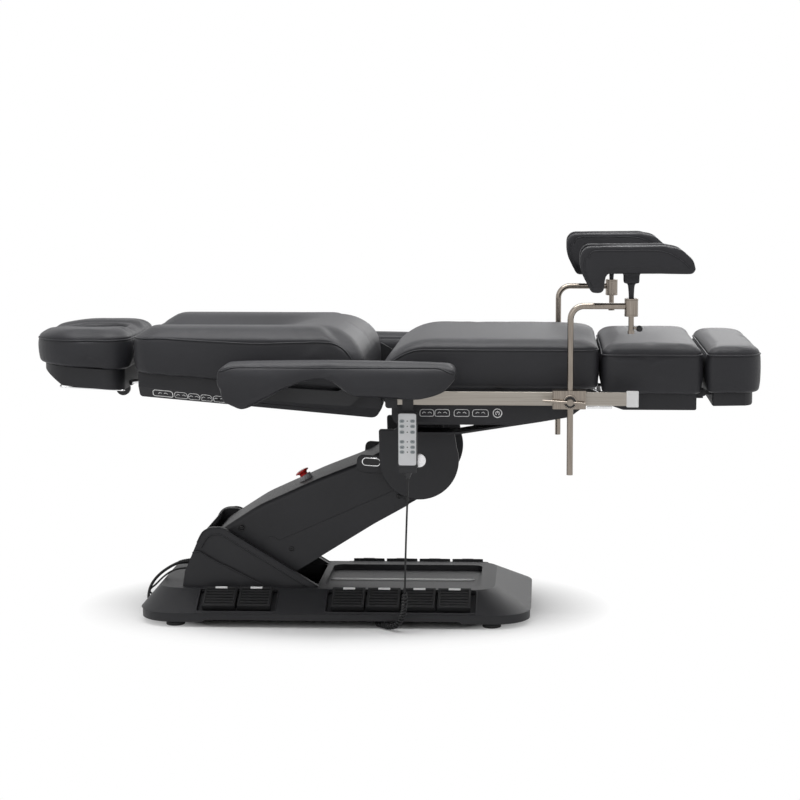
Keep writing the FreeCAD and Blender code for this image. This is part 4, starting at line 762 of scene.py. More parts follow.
def makeLegPad():
    s = legPad
    plan = roundLoop([(s["left"], -s["half"], 0.030), (s["right"], -s["half"], 0.030),
                      (s["right"], s["half"], 0.030), (s["left"], s["half"], 0.030)], 300)
    piece = padPiece("legPad", {"plan": plan, "seam": lambda x, y: s["seam"] + 0 * x, "top": flatTop(s),
                                "low": lambda x, y: s["low"] + 0 * x, "lowEdge": 0.008, "bulge": 0.0015,
                                "shoulder": lambda x, y: 0.030 + 0 * x})
    puffed(piece, 0.0065, 0.003)
    line = seamLine(piece, plan, np.full(len(plan), s["seam"]))
    dressPad(piece, "leg", "leg_cushion")
    sewnWelt("legWelt", piece, line, 0.0024, "leg", True)


def makeFootPad():
    s = footPad
    plan = roundLoop([(s["left"], -s["half"], 0.020), (s["right"], -s["half"], 0.115), (s["right"], -0.018, 0.06),
                      (s["right"] - 0.026, 0.0, 0.04), (s["right"], 0.018, 0.06), (s["right"], s["half"], 0.115),
                      (s["left"], s["half"], 0.020)], 300)
    piece = padPiece("footPad", {"plan": plan, "seam": lambda x, y: s["seam"] + 0 * x, "top": flatTop(s),
                                 "low": lambda x, y: s["low"] + 0 * x, "lowEdge": 0.008, "bulge": 0.0015,
                                 "shoulder": lambda x, y: 0.026 + 0 * x})
    puffed(piece, 0.006, 0.003)
    line = seamLine(piece, plan, np.full(len(plan), s["seam"]))
    dressPad(piece, "foot", "foot_cushion")
    sewnWelt("footWelt", piece, line, 0.0024, "foot", True)


# Headrest pad with an oval hole for the face
headPad = {"left": -0.959, "right": -0.700, "half": 0.213, "low": 0.691, "seam": 0.755, "top": 0.782, "holeX": -0.813}


def headTop(x, y):
    s = headPad
    reach = np.sqrt(((x - s["holeX"]) / 0.112) ** 2 + (y / 0.090) ** 2)
    ring = 0.009 * np.exp(-((reach - 1.0) / 0.16) ** 2)
    dip = 0.006 * (1 - smoothStep((reach - 0.6) / 0.4))
    fall = 0.010 * smoothStep((-0.86 - x) / 0.12)
    return s["top"] - ring - dip - fall - 0.003 * (y / s["half"]) ** 2


def makeHeadPad():
    s = headPad
    plan = roundLoop([(s["left"], -s["half"], 0.150), (s["right"], -s["half"], 0.060),
                      (s["right"], s["half"], 0.060), (s["left"], s["half"], 0.150)], 280)
    piece = padPiece("headPad", {"plan": plan, "seam": lambda x, y: s["seam"] + 0 * x, "top": headTop,
                                 "low": lambda x, y: s["low"] - 0.0649 * (x - s["left"]), "lowEdge": 0.010,
                                 "bulge": 0.0015, "shoulder": lambda x, y: 0.036 + 0 * x,
                                 "hole": {"x": s["holeX"], "length": 0.158, "width": 0.118, "lip": 0.008}})
    puffed(piece, 0.006, 0.003)
    line = seamLine(piece, plan, np.full(len(plan), s["seam"]))
    dressPad(piece, "headrest", "headrest_cushion")
    sewnWelt("headWelt", piece, line, 0.0019, "headrest", True)


# Armrests and knee pads keep their frame's form, with softened edges
def copyOfNode(name, node):
    mesh = nodes[node].data.copy()
    mesh.transform(nodes[node].matrix_world)
    piece = bpy.data.objects.new(name, mesh)
    bpy.context.scene.collection.objects.link(piece)
    outwards(piece)
    return piece


def shrink(piece, amount):
    points = pointsOf(piece) - normalsOf(piece) * amount
    piece.data.vertices.foreach_set("co", points.astype(np.float32).ravel())


def makeArmrests():
    for side, sign in (("near", -1), ("far", 1)):
        piece = copyOfNode("armrestPad_" + side, "armrest_" + side)
        puffed(piece, 0.006, 0.003, relax=6)
        low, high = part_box("armrest_" + side)
        tree = surfaceOf(piece)
        dressPad(piece, "armrest_" + side, "armrest_" + side)
        for face, start in (("outer", sign * 0.60), ("inner", sign * 0.20)):
            away = 1 if start < (low[1] + high[1]) / 2 else -1
            x = np.linspace(low[0] + 0.006, high[0] - 0.006, 90)
            drop = 0.013 + 0.010 * (1 - smoothStep((x - low[0]) / 0.05)) + 0.014 * smoothStep((x - high[0] + 0.05) / 0.05)
            line = castPoints(tree, np.column_stack([x, np.full(90, start), high[2] - drop]), (0, away, 0))
            sewnWelt("armrestWelt_%s_%s" % (side, face), piece, line, 0.0014, "armrest_" + side, False, 0.0012, 0.003)


kneeSeams = [[(0.512, 0.990), (0.520, 1.004), (0.545, 1.0075), (0.600, 1.0070), (0.660, 1.0080), (0.700, 1.0040), (0.735, 0.9880),
              (0.764, 0.9640)],
             [(0.503, 0.986), (0.501, 0.965), (0.508, 0.940), (0.522, 0.912)]]


def makeKneePads():
    for side in ("near", "far"):
        piece = copyOfNode("kneePad_" + side, "holder_pad_" + side)
        puffed(piece, 0.005, 0.002, relax=4)
        low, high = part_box("holder_pad_" + side)
        tree = surfaceOf(piece)
        dressPad(piece, "holder_pad_" + side, "holder_pad_" + side)
        shift = low[0] - 0.490
        for face, start in (("low", low[1] - 0.1), ("high", high[1] + 0.1)):
            away = 1 if face == "low" else -1
            for number, points in enumerate(kneeSeams, 1):
                line = softLine(points, 70)
                line = castPoints(tree, np.column_stack([line[:, 0] + shift, np.full(70, start), line[:, 1]]), (0, away, 0))
                sewnWelt("kneeWelt_%s_%s_%d" % (side, face, number), piece, line, 0.0011, "holder_pad_" + side, False,
                         0.0010, 0.003)


for make in (makeSeatPad, makeBackPad, makeLegPad, makeFootPad, makeHeadPad, makeArmrests, makeKneePads):
    make()
    print("stage:", make.__name__)


# Fittings

# A point on the base's slope: down from the deck's edge and out from the face, on the near (-1) or far side (1)
slope = {"edge": 0.184, "top": 0.087, "run": 0.091, "rise": 0.049}


def onSlope(x, down, out, side=-1):
    angle = math.atan2(slope["rise"], slope["run"])
    x, down, out = np.broadcast_arrays(np.asarray(x, float), down, out)
    y = slope["edge"] + down * math.cos(angle) + out * math.sin(angle)
    return np.stack([x, side * y, slope["top"] - down * math.sin(angle) + out * math.cos(angle)], -1)


def boxLoop(uLow, uHigh, vLow, vHigh, radius, count=72):
    return roundLoop([(uLow, vLow, radius), (uHigh, vLow, radius), (uHigh, vHigh, radius), (uLow, vHigh, radius)], count)


pedalRows = {"near": [-0.458, -0.364, -0.115, -0.021, 0.073, 0.167], "far": [-0.095, -0.001, 0.093, 0.187]}
pedalLook = {"half": 0.0435, "down": 0.005, "length": 0.078, "stand": 0.010, "inset": 0.0042, "mark": (0.032, 0.0062)}


# Each pedal gets a raised border round its ribs and a white mark at its upper edge
def makePedalTrim():
    s = pedalLook
    for row, side in (("near", -1), ("far", 1)):
        normal = onSlope(0, 0, 1, side) - onSlope(0, 0, 0, side)
        for number, x in enumerate(pedalRows[row], 1):
            body = "pedal_%s_%d" % (row, number)
            border = boxLoop(x - s["half"] + s["inset"], x + s["half"] - s["inset"], s["down"] + s["inset"],
                             s["down"] + s["length"] - s["inset"], 0.004)
            tubePiece("pedalBorder_%s_%d" % (row, number), onSlope(border[:, 0], border[:, 1], s["stand"] + 0.0002, side),
                      0.0021, pedalRubber, body, sides=8, closed=True, squash=0.55, up=normal)
            wide, deep = s["mark"]
            mark = boxLoop(x - wide / 2, x + wide / 2, 0.0, deep, 0.0012, 40)
            slabPiece("pedalMark_%s_%d" % (row, number), mark,
                      lambda p: onSlope(p[:, 0], s["down"] + 0.0022 + p[:, 1], s["stand"] + p[:, 2], side),
                      -0.0006, 0.0022, 0.0006, printWhite, body)


recessRims = {"nearLeft": (-0.458, 2, -1), "nearRight": (-0.115, 4, -1), "farRow": (-0.095, 4, 1)}


# A raised bead round each row's recess in the slope
def makeRecessRims():
    for name, (first, count, side) in recessRims.items():
        low, high = first - 0.0585, first + (count - 1) * 0.094 + 0.0585
        loop = boxLoop(low, high, 0.0025, 0.0950, 0.006, 160)
        normal = onSlope(0, 0, 1, side) - onSlope(0, 0, 0, side)
        tubePiece("recessRim_" + name, onSlope(loop[:, 0], loop[:, 1], 0.0, side), 0.0020, coverBlack, "root",
                  sides=8, closed=True, squash=0.7, up=normal)


# White strip along the deck's tray
def makeTrayStrip():
    loop = boxLoop(-0.184, 0.213, -0.0050, 0.0050, 0.0015, 60)
    slabPiece("trayStrip", loop, lambda p: p, 0.0725, 0.0765, 0.0012, printWhite, "root")


# Round cap screws: a washer and a domed head with a socket, on both sides of what carries them
screws = [("lift_arm", -0.412, 0.241, 0.1252), ("lift_arm", -0.277, 0.184, 0.1252), ("lift_arm", -0.066, 0.400, 0.1252),
          ("lift_arm", 0.014, 0.330, 0.1252), ("head", 0.120, 0.430, 0.1411), ("head", 0.088, 0.380, 0.1411)]
screwProfile = [(0.0100, -0.001), (0.0100, 0.0009), (0.0089, 0.0012), (0.0074, 0.0012), (0.0070, 0.0005), (0.0062, 0.0005),
                (0.0066, 0.0024), (0.0058, 0.0042), (0.0040, 0.0051), (0.0028, 0.0052), (0.0026, 0.0024), (0.0002, 0.0024)]


def makeScrews():
    for number, (body, x, z, y) in enumerate(screws, 1):
        for side, sign in (("near", -1), ("far", 1)):
            spunPiece("capScrew_%s_%d" % (side, number), screwProfile, (x, sign * y, z), (0, sign, 0), screwBlack, body,
                      28)


# The pivot's chrome cap on each side of the head, with a turned groove
pivotCap = [(0.0152, -0.004), (0.0164, 0.0), (0.0164, 0.0046), (0.0156, 0.0057), (0.0120, 0.0060), (0.0114, 0.0048),
            (0.0104, 0.0048), (0.0098, 0.0060), (0.0050, 0.0066), (0.0002, 0.0067)]


def makePivotCaps():
    for side, sign in (("near", -1), ("far", 1)):
        spunPiece("pivotCap_" + side, pivotCap, (0.070, sign * 0.1412, 0.431), (0, sign, 0), polished, "head",
                  40)


# Black boss on the arm's side with a bright oval ring in it
ovalBoss = {"centre": (-0.0600, 0.4175), "size": (0.078, 0.047), "ring": (0.048, 0.020), "tilt": -4.0, "face": 0.1270}


def makeOvalBosses():
    s = ovalBoss
    turn = math.radians(s["tilt"])
    for side, sign in (("near", -1), ("far", 1)):
        def place(p, sign=sign):
            x = s["centre"][0] + p[:, 0] * math.cos(turn) - p[:, 1] * math.sin(turn)
            z = s["centre"][1] + p[:, 0] * math.sin(turn) + p[:, 1] * math.cos(turn)
            return np.stack([x, sign * (s["face"] + p[:, 2]), z], -1)
        wide, high = s["size"]
        loop = boxLoop(-wide / 2, wide / 2, -high / 2, high / 2, 0.016, 90)
        slabPiece("ovalBoss_" + side, loop, place, -0.002, 0.0035, 0.0014, coverBlack, "lift_arm")
        wide, high = s["ring"]
        path = boxLoop(-wide / 2, wide / 2, 0.006 - high / 2, 0.006 + high / 2, high * 0.49, 90)
        tubePiece("ovalRing_" + side, place(np.column_stack([path, np.full(90, 0.0036)])), 0.0019, polished, "lift_arm",
                  sides=10, closed=True, up=(0, 1, 0))
        inner = boxLoop(-wide / 2 + 0.002, wide / 2 - 0.002, 0.008 - high / 2, 0.004 + high / 2, high * 0.38, 70)
        slabPiece("ovalPlate_" + side, inner, place, 0.001, 0.0041, 0.0005, screwBlack, "lift_arm")


# Stop button: a thin domed disc on a ribbed collar, square to the arm's top
stopButton = {"along": 0.252, "face": 0.0994, "pivot": (-0.415, 0.140), "top": (0.070, 0.431)}


def onArm(along, across):
    s = stopButton
    run = np.array(s["top"]) - np.array(s["pivot"])
    run /= np.linalg.norm(run)
    x = s["pivot"][0] + along * run[0] - across * run[1]
    return (x, 0.0, s["pivot"][1] + along * run[1] + across * run[0]), (-run[1], 0.0, run[0])


def makeStopButton():
    s = stopButton
    foot, out = onArm(s["along"], s["face"])
    profile = [(0.0114, -0.008), (0.0114, 0.0140), (0.0114, 0.0186), (0.0150, 0.0206), (0.0190, 0.0218), (0.0199, 0.0232),
               (0.0196, 0.0247), (0.0160, 0.0266), (0.0100, 0.0282), (0.0002, 0.0288)]
    button = spunPiece("stopButton", profile, foot, out, stopRed, "stop_button", 64)
    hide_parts("stop_button")
    sides = 96
    angle = np.linspace(0, 2 * math.pi, sides, endpoint=False)
    rows = [(0.0184, 0.0), (0.0188, 0.0015), (0.0188, 0.0105), (0.0180, 0.0124), (0.0130, 0.0126)]
    axis = np.array(out)
    across = np.array([0.0, 1.0, 0.0])
    over = np.cross(axis, across)
    ring = np.cos(angle)[:, None] * across + np.sin(angle)[:, None] * over
    points = []
    for radius, height in rows:
        ribbed = radius + (0.0007 * np.cos(angle * 16) if 0.001 < height < 0.012 else 0 * angle)
        points.append(np.array(foot) + axis * height + ring * ribbed[:, None])
    points += [np.array(foot) + axis * 0.0120 + ring * 0.0124, np.array(foot) + axis * -0.003 + ring * 0.0124,
               np.array(foot) + axis * -0.003 + ring * 0.0184]
    collar = meshPiece("stopCollar", np.vstack(points), gridQuads(len(points), sides, closeRows=True), stopGrey,
                       "lift_arm")
    outwards(collar)


# Printed keys on the shells' near sides: outlines (left, right, middle height) and a round power ring
keypads = {
    "seat": {"node": "seat_shell", "body": "seat", "high": 0.018, "rise": 0.0, "bold": 1,
             "keys": [(0.080, 0.116, 0.5755), (0.119, 0.157, 0.5755), (0.169, 0.208, 0.5755), (0.217, 0.258, 0.5755)],
             "ring": (0.282, 0.5755, 0.0112)},
    "back": {"node": "back_shell", "body": "back", "high": 0.017, "rise": -0.0849, "bold": 1,
             "keys": [(-0.622, -0.570, 0.621), (-0.565, -0.532, 0.616), (-0.529, -0.500, 0.6125), (-0.496, -0.467, 0.6095),
                      (-0.463, -0.434, 0.6065)], "ring": None},
}


# A thin printed line on a wall: points (x, z) are set on the node's near face
def printedLine(name, tree, points, width, material, body, closed=True):
    starts = np.column_stack([points[:, 0], np.full(len(points), -0.60), points[:, 1]])
    line = castPoints(tree, starts, (0, 1, 0))
    line = evenly(np.vstack([line, line[:1]]), len(line) + 1)[:-1] if closed else evenly(line, len(line))
    return tubePiece(name, line, width, material, body, sides=6, closed=closed, up=(0, 1, 0))


def makeKeypads():
    for pad, s in keypads.items():
        tree = surfaceOf(nodes[s["node"]])
        for number, (left, right, middle) in enumerate(s["keys"], 1):
            high = s["high"]
            loop = roundLoop([(left, middle - high / 2, 0.004), (right, middle - high / 2, 0.004),
                              (right, middle + high / 2, 0.0075), (left, middle + high / 2, 0.0075)], 80)
            loop[:, 1] += s["rise"] * (loop[:, 0] - (left + right) / 2)
            bold = 0.0011 if number == 1 and pad == "back" else 0.0007
            printedLine("keyOutline_%s_%d" % (pad, number), tree, loop, bold, printWhite, s["body"])
            centre = (left + right) / 2
            for k, lean in enumerate((-1, 1)):
                icon = np.array([(centre + lean * 0.003, middle), (centre + lean * 0.008, middle + 0.0025),
                                 (centre + lean * 0.012, middle - 0.0015)])
                icon[:, 1] += s["rise"] * (icon[:, 0] - centre)
                printedLine("keyIcon_%s_%d_%d" % (pad, number, k), tree, evenly(icon, 12), 0.0007, printWhite, s["body"],
                            False)
        if s["ring"]:
            x, z, radius = s["ring"]
            angle = np.linspace(0, 2 * math.pi, 60, endpoint=False)
            ring = np.column_stack([x + radius * np.cos(angle), z + radius * np.sin(angle)])
            printedLine("powerRing", tree, ring, 0.0012, printWhite, s["body"])
            gapAngle = np.linspace(0.35 * math.pi, -1.35 * math.pi, 40) + math.pi
            mark = np.column_stack([x + 0.0048 * np.cos(gapAngle), z - 0.0005 + 0.0048 * np.sin(gapAngle)])
            printedLine("powerMark", tree, mark, 0.0009, printWhite, s["body"], False)
            printedLine("powerBar", tree, np.column_stack([np.full(8, x), np.linspace(z, z + 0.0062, 8)]), 0.0009,
                        printWhite, s["body"], False)


# Handset face: a silver film with six rows of keys
handsetFace = {"x": (0.0312, 0.0768), "z": (0.4535, 0.5875), "face": -0.3745, "lean": -0.0139,
               "rows": [0.568, 0.5545, 0.5395, 0.5145, 0.5005, 0.4880]}


def onHandset(x, z, out):
    s = handsetFace
    y = s["face"] + (z - 0.446) * s["lean"] - out
    return np.stack(np.broadcast_arrays(x, y, z), -1)


def makeHandsetFace():
    s = handsetFace
    film = boxLoop(*s["x"], *s["z"], 0.0045, 80)
    slabPiece("handsetFace", film, lambda p: onHandset(p[:, 0], p[:, 1], p[:, 2]), -0.002, 0.0008, 0.0005, handsetFilm,
              "seat")
    middle = sum(s["x"]) / 2
    for row, z in enumerate(s["rows"], 1):
        for k, lean in enumerate((-1, 1)):
            key = boxLoop(middle + lean * 0.0135 - 0.0062, middle + lean * 0.0135 + 0.0062, z - 0.0042, z + 0.0042, 0.0040, 36)
            slabPiece("handsetKey_%d_%d" % (row, k), key, lambda p: onHandset(p[:, 0], p[:, 1], p[:, 2]), 0.0004, 0.0016,
                      0.0004, keyFilm, "seat")
            sign = np.array([(-0.0028, -0.0010), (0.0, 0.0016), (0.0028, -0.0010)]) * (1, lean)
            sign = evenly(sign + (middle + lean * 0.0135, z), 9)
            tubePiece("handsetSign_%d_%d" % (row, k), onHandset(sign[:, 0], sign[:, 1], 0.0017), 0.00045, printBlack,
                      "seat", sides=5, up=(0, 1, 0))
        angle = np.linspace(0, 2 * math.pi, 20, endpoint=False)
        dot = np.column_stack([middle + 0.0016 * np.cos(angle), z + 0.0016 * np.sin(angle)])
        slabPiece("handsetDot_%d" % row, dot, lambda p: onHandset(p[:, 0], p[:, 1], p[:, 2]), 0.0004, 0.0012, 0.0003,
                  printBlack, "seat")


# Raised edges on the hood's sides: slim beads along the band and the flare
hoodEdges = {
    "bandTop": [(-0.528, 0.206), (-0.514, 0.232), (-0.498, 0.243), (-0.480, 0.2455), (-0.458, 0.2440), (-0.420, 0.221),
                (-0.203, 0.0875)],
    "bandLow": [(-0.518, 0.192), (-0.506, 0.213), (-0.492, 0.2265), (-0.478, 0.2285), (-0.462, 0.2270), (-0.420, 0.202),
                (-0.232, 0.0875)],
    "flareTop": [(-0.541, 0.178), (-0.530, 0.181), (-0.518, 0.179), (-0.500, 0.168), (-0.470, 0.151), (-0.426, 0.1300),
                 (-0.345, 0.0875)],
}


def makeHoodEdges():
    tree = surfaceOf(nodes["hood"])
    for name, points in hoodEdges.items():
        line = softLine(points, 80)
        for side, sign in (("near", -1), ("far", 1)):
            face = 0.1605 if name != "flareTop" else 0.1632
            path = np.column_stack([line[:, 0], np.full(80, sign * face), line[:, 1]])
            tubePiece("hoodEdge_%s_%s" % (name, side), path, 0.0022, coverBlack, "root", sides=8, up=(0, 1, 0))


# Holders: a black grip ball on each lock pin, two thin rings round each housing, and a toothed washer at each screw
holders = {"near": (-0.366, 0.622, 0.469), "far": (0.366, 0.596, 0.443)}


def makeHolderTrim():
    for side, (y, post, rod) in holders.items():
        body = "holder_rod_" + side
        ball = [(0.0002, -0.0086), (0.0042, -0.0075), (0.0073, -0.0045), (0.0085, 0.0), (0.0073, 0.0045), (0.0042, 0.0075),
                (0.0002, 0.0086)]
        spunPiece("gripBall_" + side, ball, (post + 0.021, y, 0.806), (1, 0, -0.15), screwBlack, body, 24)
        for number, z in enumerate((0.8415, 0.8785)):
            angle = np.linspace(0, 2 * math.pi, 64, endpoint=False)
            ring = np.column_stack([post + 0.0174 * np.cos(angle), y + 0.0174 * np.sin(angle), np.full(64, z)])
            tubePiece("housingRing_%s_%d" % (side, number), ring, 0.0007, holderSteel, body, sides=6,
                      closed=True)
        sign = -1 if y < 0 else 1
        teeth = 40
        angle = np.linspace(0, 2 * math.pi, teeth * 4, endpoint=False)
        reach = 0.0150 + 0.0010 * np.sign(np.cos(angle * teeth / 2))
        face = abs(y) + 0.008 + 0.007
        rows = [np.column_stack([rod + reach * np.cos(angle), np.full(len(angle), sign * (face + out)),
                                 0.620 + reach * np.sin(angle)]) for out in (-0.001, 0.0085)]
        inner = [np.column_stack([rod + 0.009 * np.cos(angle), np.full(len(angle), sign * (face + out)),
                                  0.620 + 0.009 * np.sin(angle)]) for out in (0.0085, -0.001)]
        washer = meshPiece("toothedWasher_" + side, np.vstack(rows + inner), gridQuads(4, len(angle), closeRows=True),
                           screwBlack, "holder_screw_" + side, False)
        outwards(washer)


# A bright strip between the seat and the leg section
def makeLegStrip():
    for side, sign in (("near", -1), ("far", 1)):
        loop = boxLoop(0.514, 0.580, 0.5865, 0.5930, 0.0015, 60)
        slabPiece("legStrip_" + side, loop, lambda p: np.stack([p[:, 0], sign * (0.2515 + p[:, 2]), p[:, 1]], -1), 0.0,
                  0.006, 0.0008, polished, "leg")


# Bright wire along each lower edge of the headrest's shell
headWire = [(-0.886, 0.6345), (-0.878, 0.6318), (-0.840, 0.6288), (-0.780, 0.6243), (-0.720, 0.6200), (-0.700, 0.6190)]


def makeHeadWires():
    tree = surfaceOf(nodes["headrest_shell"])
    line = softLine(headWire, 60)
    for side, sign in (("near", -1), ("far", 1)):
        found = castPoints(tree, np.column_stack([line[:, 0], np.full(60, sign * 0.60), line[:, 1] + 0.004]), (0, -sign, 0))
        path = np.column_stack([found[:, 0], found[:, 1], line[:, 1] - 0.0012])
        path[:, 1] = evenly(path[:, 1:2], 60)[:, 0]
        tubePiece("headWire_" + side, path, 0.0022, polished, "headrest", sides=10, up=(0, 1, 0))


for make in (makePedalTrim, makeRecessRims, makeTrayStrip, makeScrews, makePivotCaps, makeOvalBosses, makeStopButton,
             makeKeypads, makeHandsetFace, makeHoodEdges, makeHolderTrim, makeLegStrip, makeHeadWires):
    make()
    print("stage:", make.__name__)


# Cords

cordRoutes = {
    "mains": [(-0.566, -0.030, 0.128), (-0.592, -0.030, 0.128), (-0.623, -0.033, 0.115), (-0.655, -0.034, 0.093),
              (-0.679, -0.028, 0.065), (-0.691, -0.014, 0.036), (-0.697, 0.010, 0.012), (-0.700, 0.044, 0.005),
              (-0.700, 0.092, 0.0045), (-0.697, 0.146, 0.0045), (-0.688, 0.206, 0.0045), (-0.656, 0.264, 0.0045),
              (-0.604, 0.309, 0.0045), (-0.536, 0.336, 0.0045), (-0.468, 0.349, 0.0045), (-0.405, 0.3516, 0.0045)],
    "link": [(-0.566, -0.064, 0.116), (-0.588, -0.064, 0.116), (-0.618, -0.054, 0.106), (-0.647, -0.040, 0.0835),
             (-0.6685, -0.022, 0.060), (-0.688, -0.006, 0.044), (-0.693, 0.005, 0.034), (-0.689, 0.0145, 0.026),
             (-0.680, 0.020, 0.021), (-0.662, 0.020, 0.021)],
    "handset": [(0.054, -0.360, 0.417), (0.054, -0.360, 0.397), (0.051, -0.354, 0.330), (0.0475, -0.345, 0.250),
                (0.045, -0.337, 0.180), (0.043, -0.330, 0.116)],
    "curl": [(0.043, -0.330, 0.116), (0.0425, -0.328, 0.092), (0.040, -0.323, 0.064), (0.033, -0.314, 0.038),
             (0.020, -0.304, 0.018), (0.002, -0.290, 0.0095), (-0.020, -0.266, 0.009), (-0.040, -0.240, 0.009)],
}


def splineCurve(name, points, radius):
    curve = bpy.data.curves.new(name, "CURVE")
    curve.dimensions = "3D"
    spline = curve.splines.new("NURBS")
    spline.points.add(len(points) - 1)
    for point, place in zip(spline.points, points):
        point.co = (*place, 1.0)
    spline.order_u = 3
    spline.use_endpoint_u = True
    spline.resolution_u = 12
    curve.bevel_depth = radius
    curve.bevel_resolution = 4
    curve.use_fill_caps = True
    piece = bpy.data.objects.new(name, curve)
    bpy.context.scene.collection.objects.link(piece)
    return piece


# The points that a route's own spline passes through
def splinePath(points):
    curve = splineCurve("route", points, 0.0)
    mesh = bpy.data.meshes.new_from_object(curve)
    out = np.zeros(len(mesh.vertices) * 3, np.float32)
    mesh.vertices.foreach_get("co", out)
    bpy.data.objects.remove(curve)
    return out.reshape(-1, 3).astype(float)


def lengthOf(path):
    return float(np.linalg.norm(np.diff(path, axis=0), axis=1).sum())


# A ribbed rubber sleeve over the first stretch of a lead, tapering along it
def makeSleeve(name, path, radius):
    along = np.concatenate([[0], np.cumsum(np.linalg.norm(np.diff(path, axis=0), axis=1))])
    reach = radius * 9
    places = np.linspace(0, reach, 46)
    line = np.stack([np.interp(places, along, path[:, k]) for k in range(3)], -1)
    taper = radius * (2.0 - 0.75 * places / reach)
    ribs = 0.12 * radius * np.cos(places / reach * 2 * math.pi * 7)
    return tubePiece(name, line, taper + ribs, cableBlack, "root", sides=20)


def makeMainsLead():
    radius = 0.004
    path = splinePath(cordRoutes["mains"])
    centre = np.array([-0.405, 0.397])
    turns, turnRadius, lift = 7, 0.045, 0.0082
    # the coil: turns climb a little with each round up to a capped height, their radius swelling and shrinking
    angle = np.linspace(0, 2 * math.pi * turns, turns * 40 + 1) - math.pi / 2
    turn = (angle + math.pi / 2) / (2 * math.pi)
    radii = turnRadius + 0.0045 * np.sin(turn * math.pi * 0.93)
    height = 0.0045 + 0.0026 * turn * (turns / 7)
    height = np.minimum(height, 0.0188)
    coil = np.column_stack([centre[0] + radii * np.cos(angle), centre[1] + radii * np.sin(angle), height])
    whole = np.vstack([path, coil[2:]])
    whole = evenly(whole, 900)
    piece = tubePiece("mainsLead", whole, radius, cableBlack, "root", sides=12)
    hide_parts("mains_lead", "mains_coil")
    makeSleeve("mainsSleeve", path, 0.004)


def makeLinkLead():
    radius = 0.0026
    piece = splineCurve("linkLead", cordRoutes["link"], radius)
    piece.data.materials.append(cableBlack)
    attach(piece, "root")
    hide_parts("link_lead")
    lengthOf(splinePath(cordRoutes["link"]))


# Handset lead: a straight part, then a helix round the route of its curly part
handsetLead = {"radius": 0.0025, "curlRadius": 0.0060, "turns": 21}


def makeHandsetLead():
    s = handsetLead
    straight = splinePath(cordRoutes["handset"])
    route = evenly(splinePath(cordRoutes["curl"]), s["turns"] * 16)
    run = np.gradient(route, axis=0)
    run /= np.linalg.norm(run, axis=1)[:, None]
    side = np.cross(run, [0.3, 0.9, 0.1])
    side /= np.linalg.norm(side, axis=1)[:, None]
    over = np.cross(run, side)
    turn = np.linspace(0, 2 * math.pi * s["turns"], len(route))
    grow = smoothStep(turn / (2 * math.pi * 1.5)) * smoothStep((turn[-1] - turn) / (2 * math.pi * 1.0))
    reach = (s["curlRadius"] * grow)[:, None]
    helix = route + reach * (np.cos(turn)[:, None] * side + np.sin(turn)[:, None] * over)
    path = evenly(np.vstack([straight, helix[1:]]), 900)
    piece = tubePiece("handsetLead", path, s["radius"], cableBlack, None, sides=8,
                      up=(0.02, 0.3, 0.95))
    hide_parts("handset_lead", "handset_curl")
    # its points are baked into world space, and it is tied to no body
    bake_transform(piece)


for make in (makeMainsLead, makeLinkLead, makeHandsetLead):
    make()
print("stage: cords")


# Stage, lights and camera

# The floor fades to plain white away from the object, where only the eye, gloss and glass see it
def paleMaterial(name, colour, fadeFrom, fadeTo, stretch, shift):
    material, w, shader, coords = startMaterial(name, {"Base Color": (*colour, 1), "Roughness": 0.9,
                                                       "Specular IOR Level": 0.1})
    place = w.node("ShaderNodeMapping")
    place.inputs["Scale"].default_value = stretch
    place.inputs["Location"].default_value = shift
    w.link(coords, place.inputs["Vector"])
    away = w.node("ShaderNodeVectorMath", operation="LENGTH")
    w.link(place.outputs["Vector"], away.inputs[0])
    share = w.maths("MULTIPLY", w.ramp(away.outputs["Value"], fadeFrom, fadeTo), seenDirectly(w))
    white = w.node("ShaderNodeEmission")
    mix = w.node("ShaderNodeMixShader")
    w.link(share, mix.inputs[0])
    w.link(shader.outputs[0], mix.inputs[1])
    w.link(white.outputs[0], mix.inputs[2])
    w.link(mix.outputs[0], material.node_tree.nodes["Material Output"].inputs["Surface"])
    return material


def seenDirectly(w):
    path = w.node("ShaderNodeLightPath")
    seen = w.maths("MAXIMUM", path.outputs["Is Camera Ray"], path.outputs["Is Glossy Ray"])
    return w.maths("MAXIMUM", seen, path.outputs["Is Transmission Ray"])


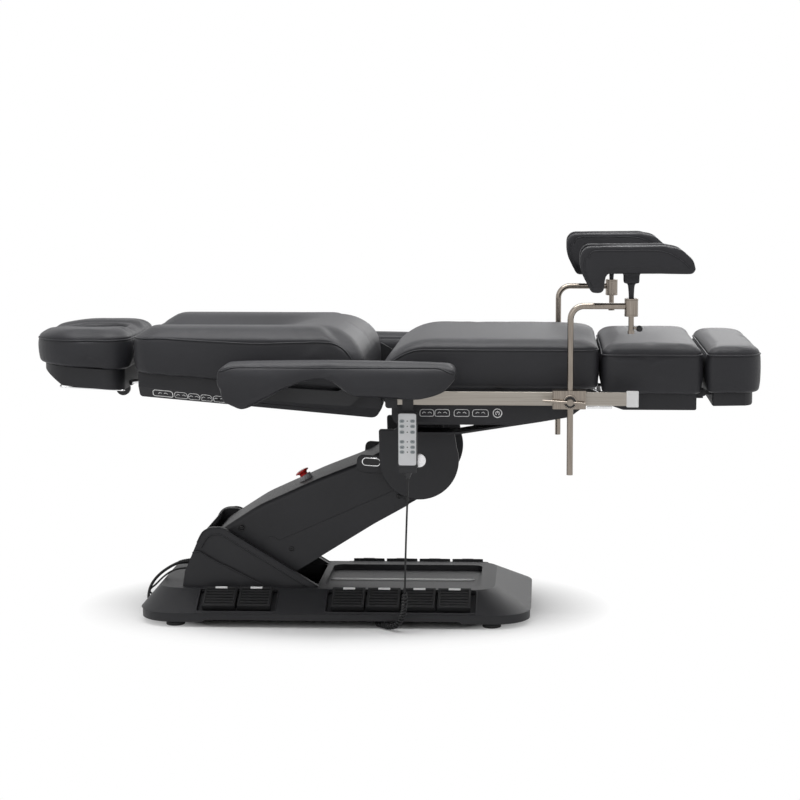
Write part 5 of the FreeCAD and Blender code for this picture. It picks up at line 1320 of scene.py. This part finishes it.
def makeStage():
    reach = 14.0
    floorLook = paleMaterial("paleFloor", (0.93, 0.93, 0.93), 0.45, 0.70, (0.95, 1.30, 1.0), (0.14, 0, 0))
    floor = meshPiece("floor", [(-reach, -reach, 0), (reach, -reach, 0), (reach, reach, 0), (-reach, reach, 0)],
                      [(0, 1, 2, 3)], floorLook, None, False)
    world = bpy.data.worlds.new("studio")
    bpy.context.scene.world = world
    world.use_nodes = True
    w = Wiring(world.node_tree)
    back = world.node_tree.nodes["Background"]
    back.inputs["Color"].default_value = (1, 1, 1, 1)
    w.link(w.ramp(seenDirectly(w), 0, 1, 0.42, 1.0), back.inputs["Strength"])


def areaLamp(name, place, target, size, power):
    data = bpy.data.lights.new(name, "AREA")
    data.shape = "RECTANGLE"
    data.size, data.size_y = size
    data.energy = power
    lamp = bpy.data.objects.new(name, data)
    lamp.location = place
    lamp.rotation_euler = (Vector(target) - Vector(place)).to_track_quat("-Z", "Y").to_euler()
    bpy.context.scene.collection.objects.link(lamp)


def makeLights():
    areaLamp("topLamp", (0.0, -0.4, 3.4), (0, 0, 0.6), (3.0, 1.8), 120)
    areaLamp("frontLamp", (-1.6, -4.2, 2.2), (0, 0, 0.5), (2.4, 1.8), 16)
    areaLamp("backLamp", (1.6, 3.4, 2.4), (0, 0, 0.6), (2.6, 1.8), 40)


viewPoint = {"place": (0.402, -5.5, 1.27), "pitch": 7.19, "yaw": 2.2, "lens": 91.35, "shift": (-0.083, 0.0)}


def makeCamera():
    data = bpy.data.cameras.new("camera")
    data.lens = viewPoint["lens"]
    data.sensor_width = 36.0
    data.shift_x, data.shift_y = viewPoint["shift"]
    camera = bpy.data.objects.new("camera", data)
    camera.location = viewPoint["place"]
    camera.rotation_euler = (math.radians(90 - viewPoint["pitch"]), 0, math.radians(viewPoint["yaw"]))
    bpy.context.scene.collection.objects.link(camera)
    bpy.context.scene.camera = camera


makeStage()
makeLights()
makeCamera()
bpy.context.scene.view_settings.view_transform = "Standard"
print("stage: lights and camera")
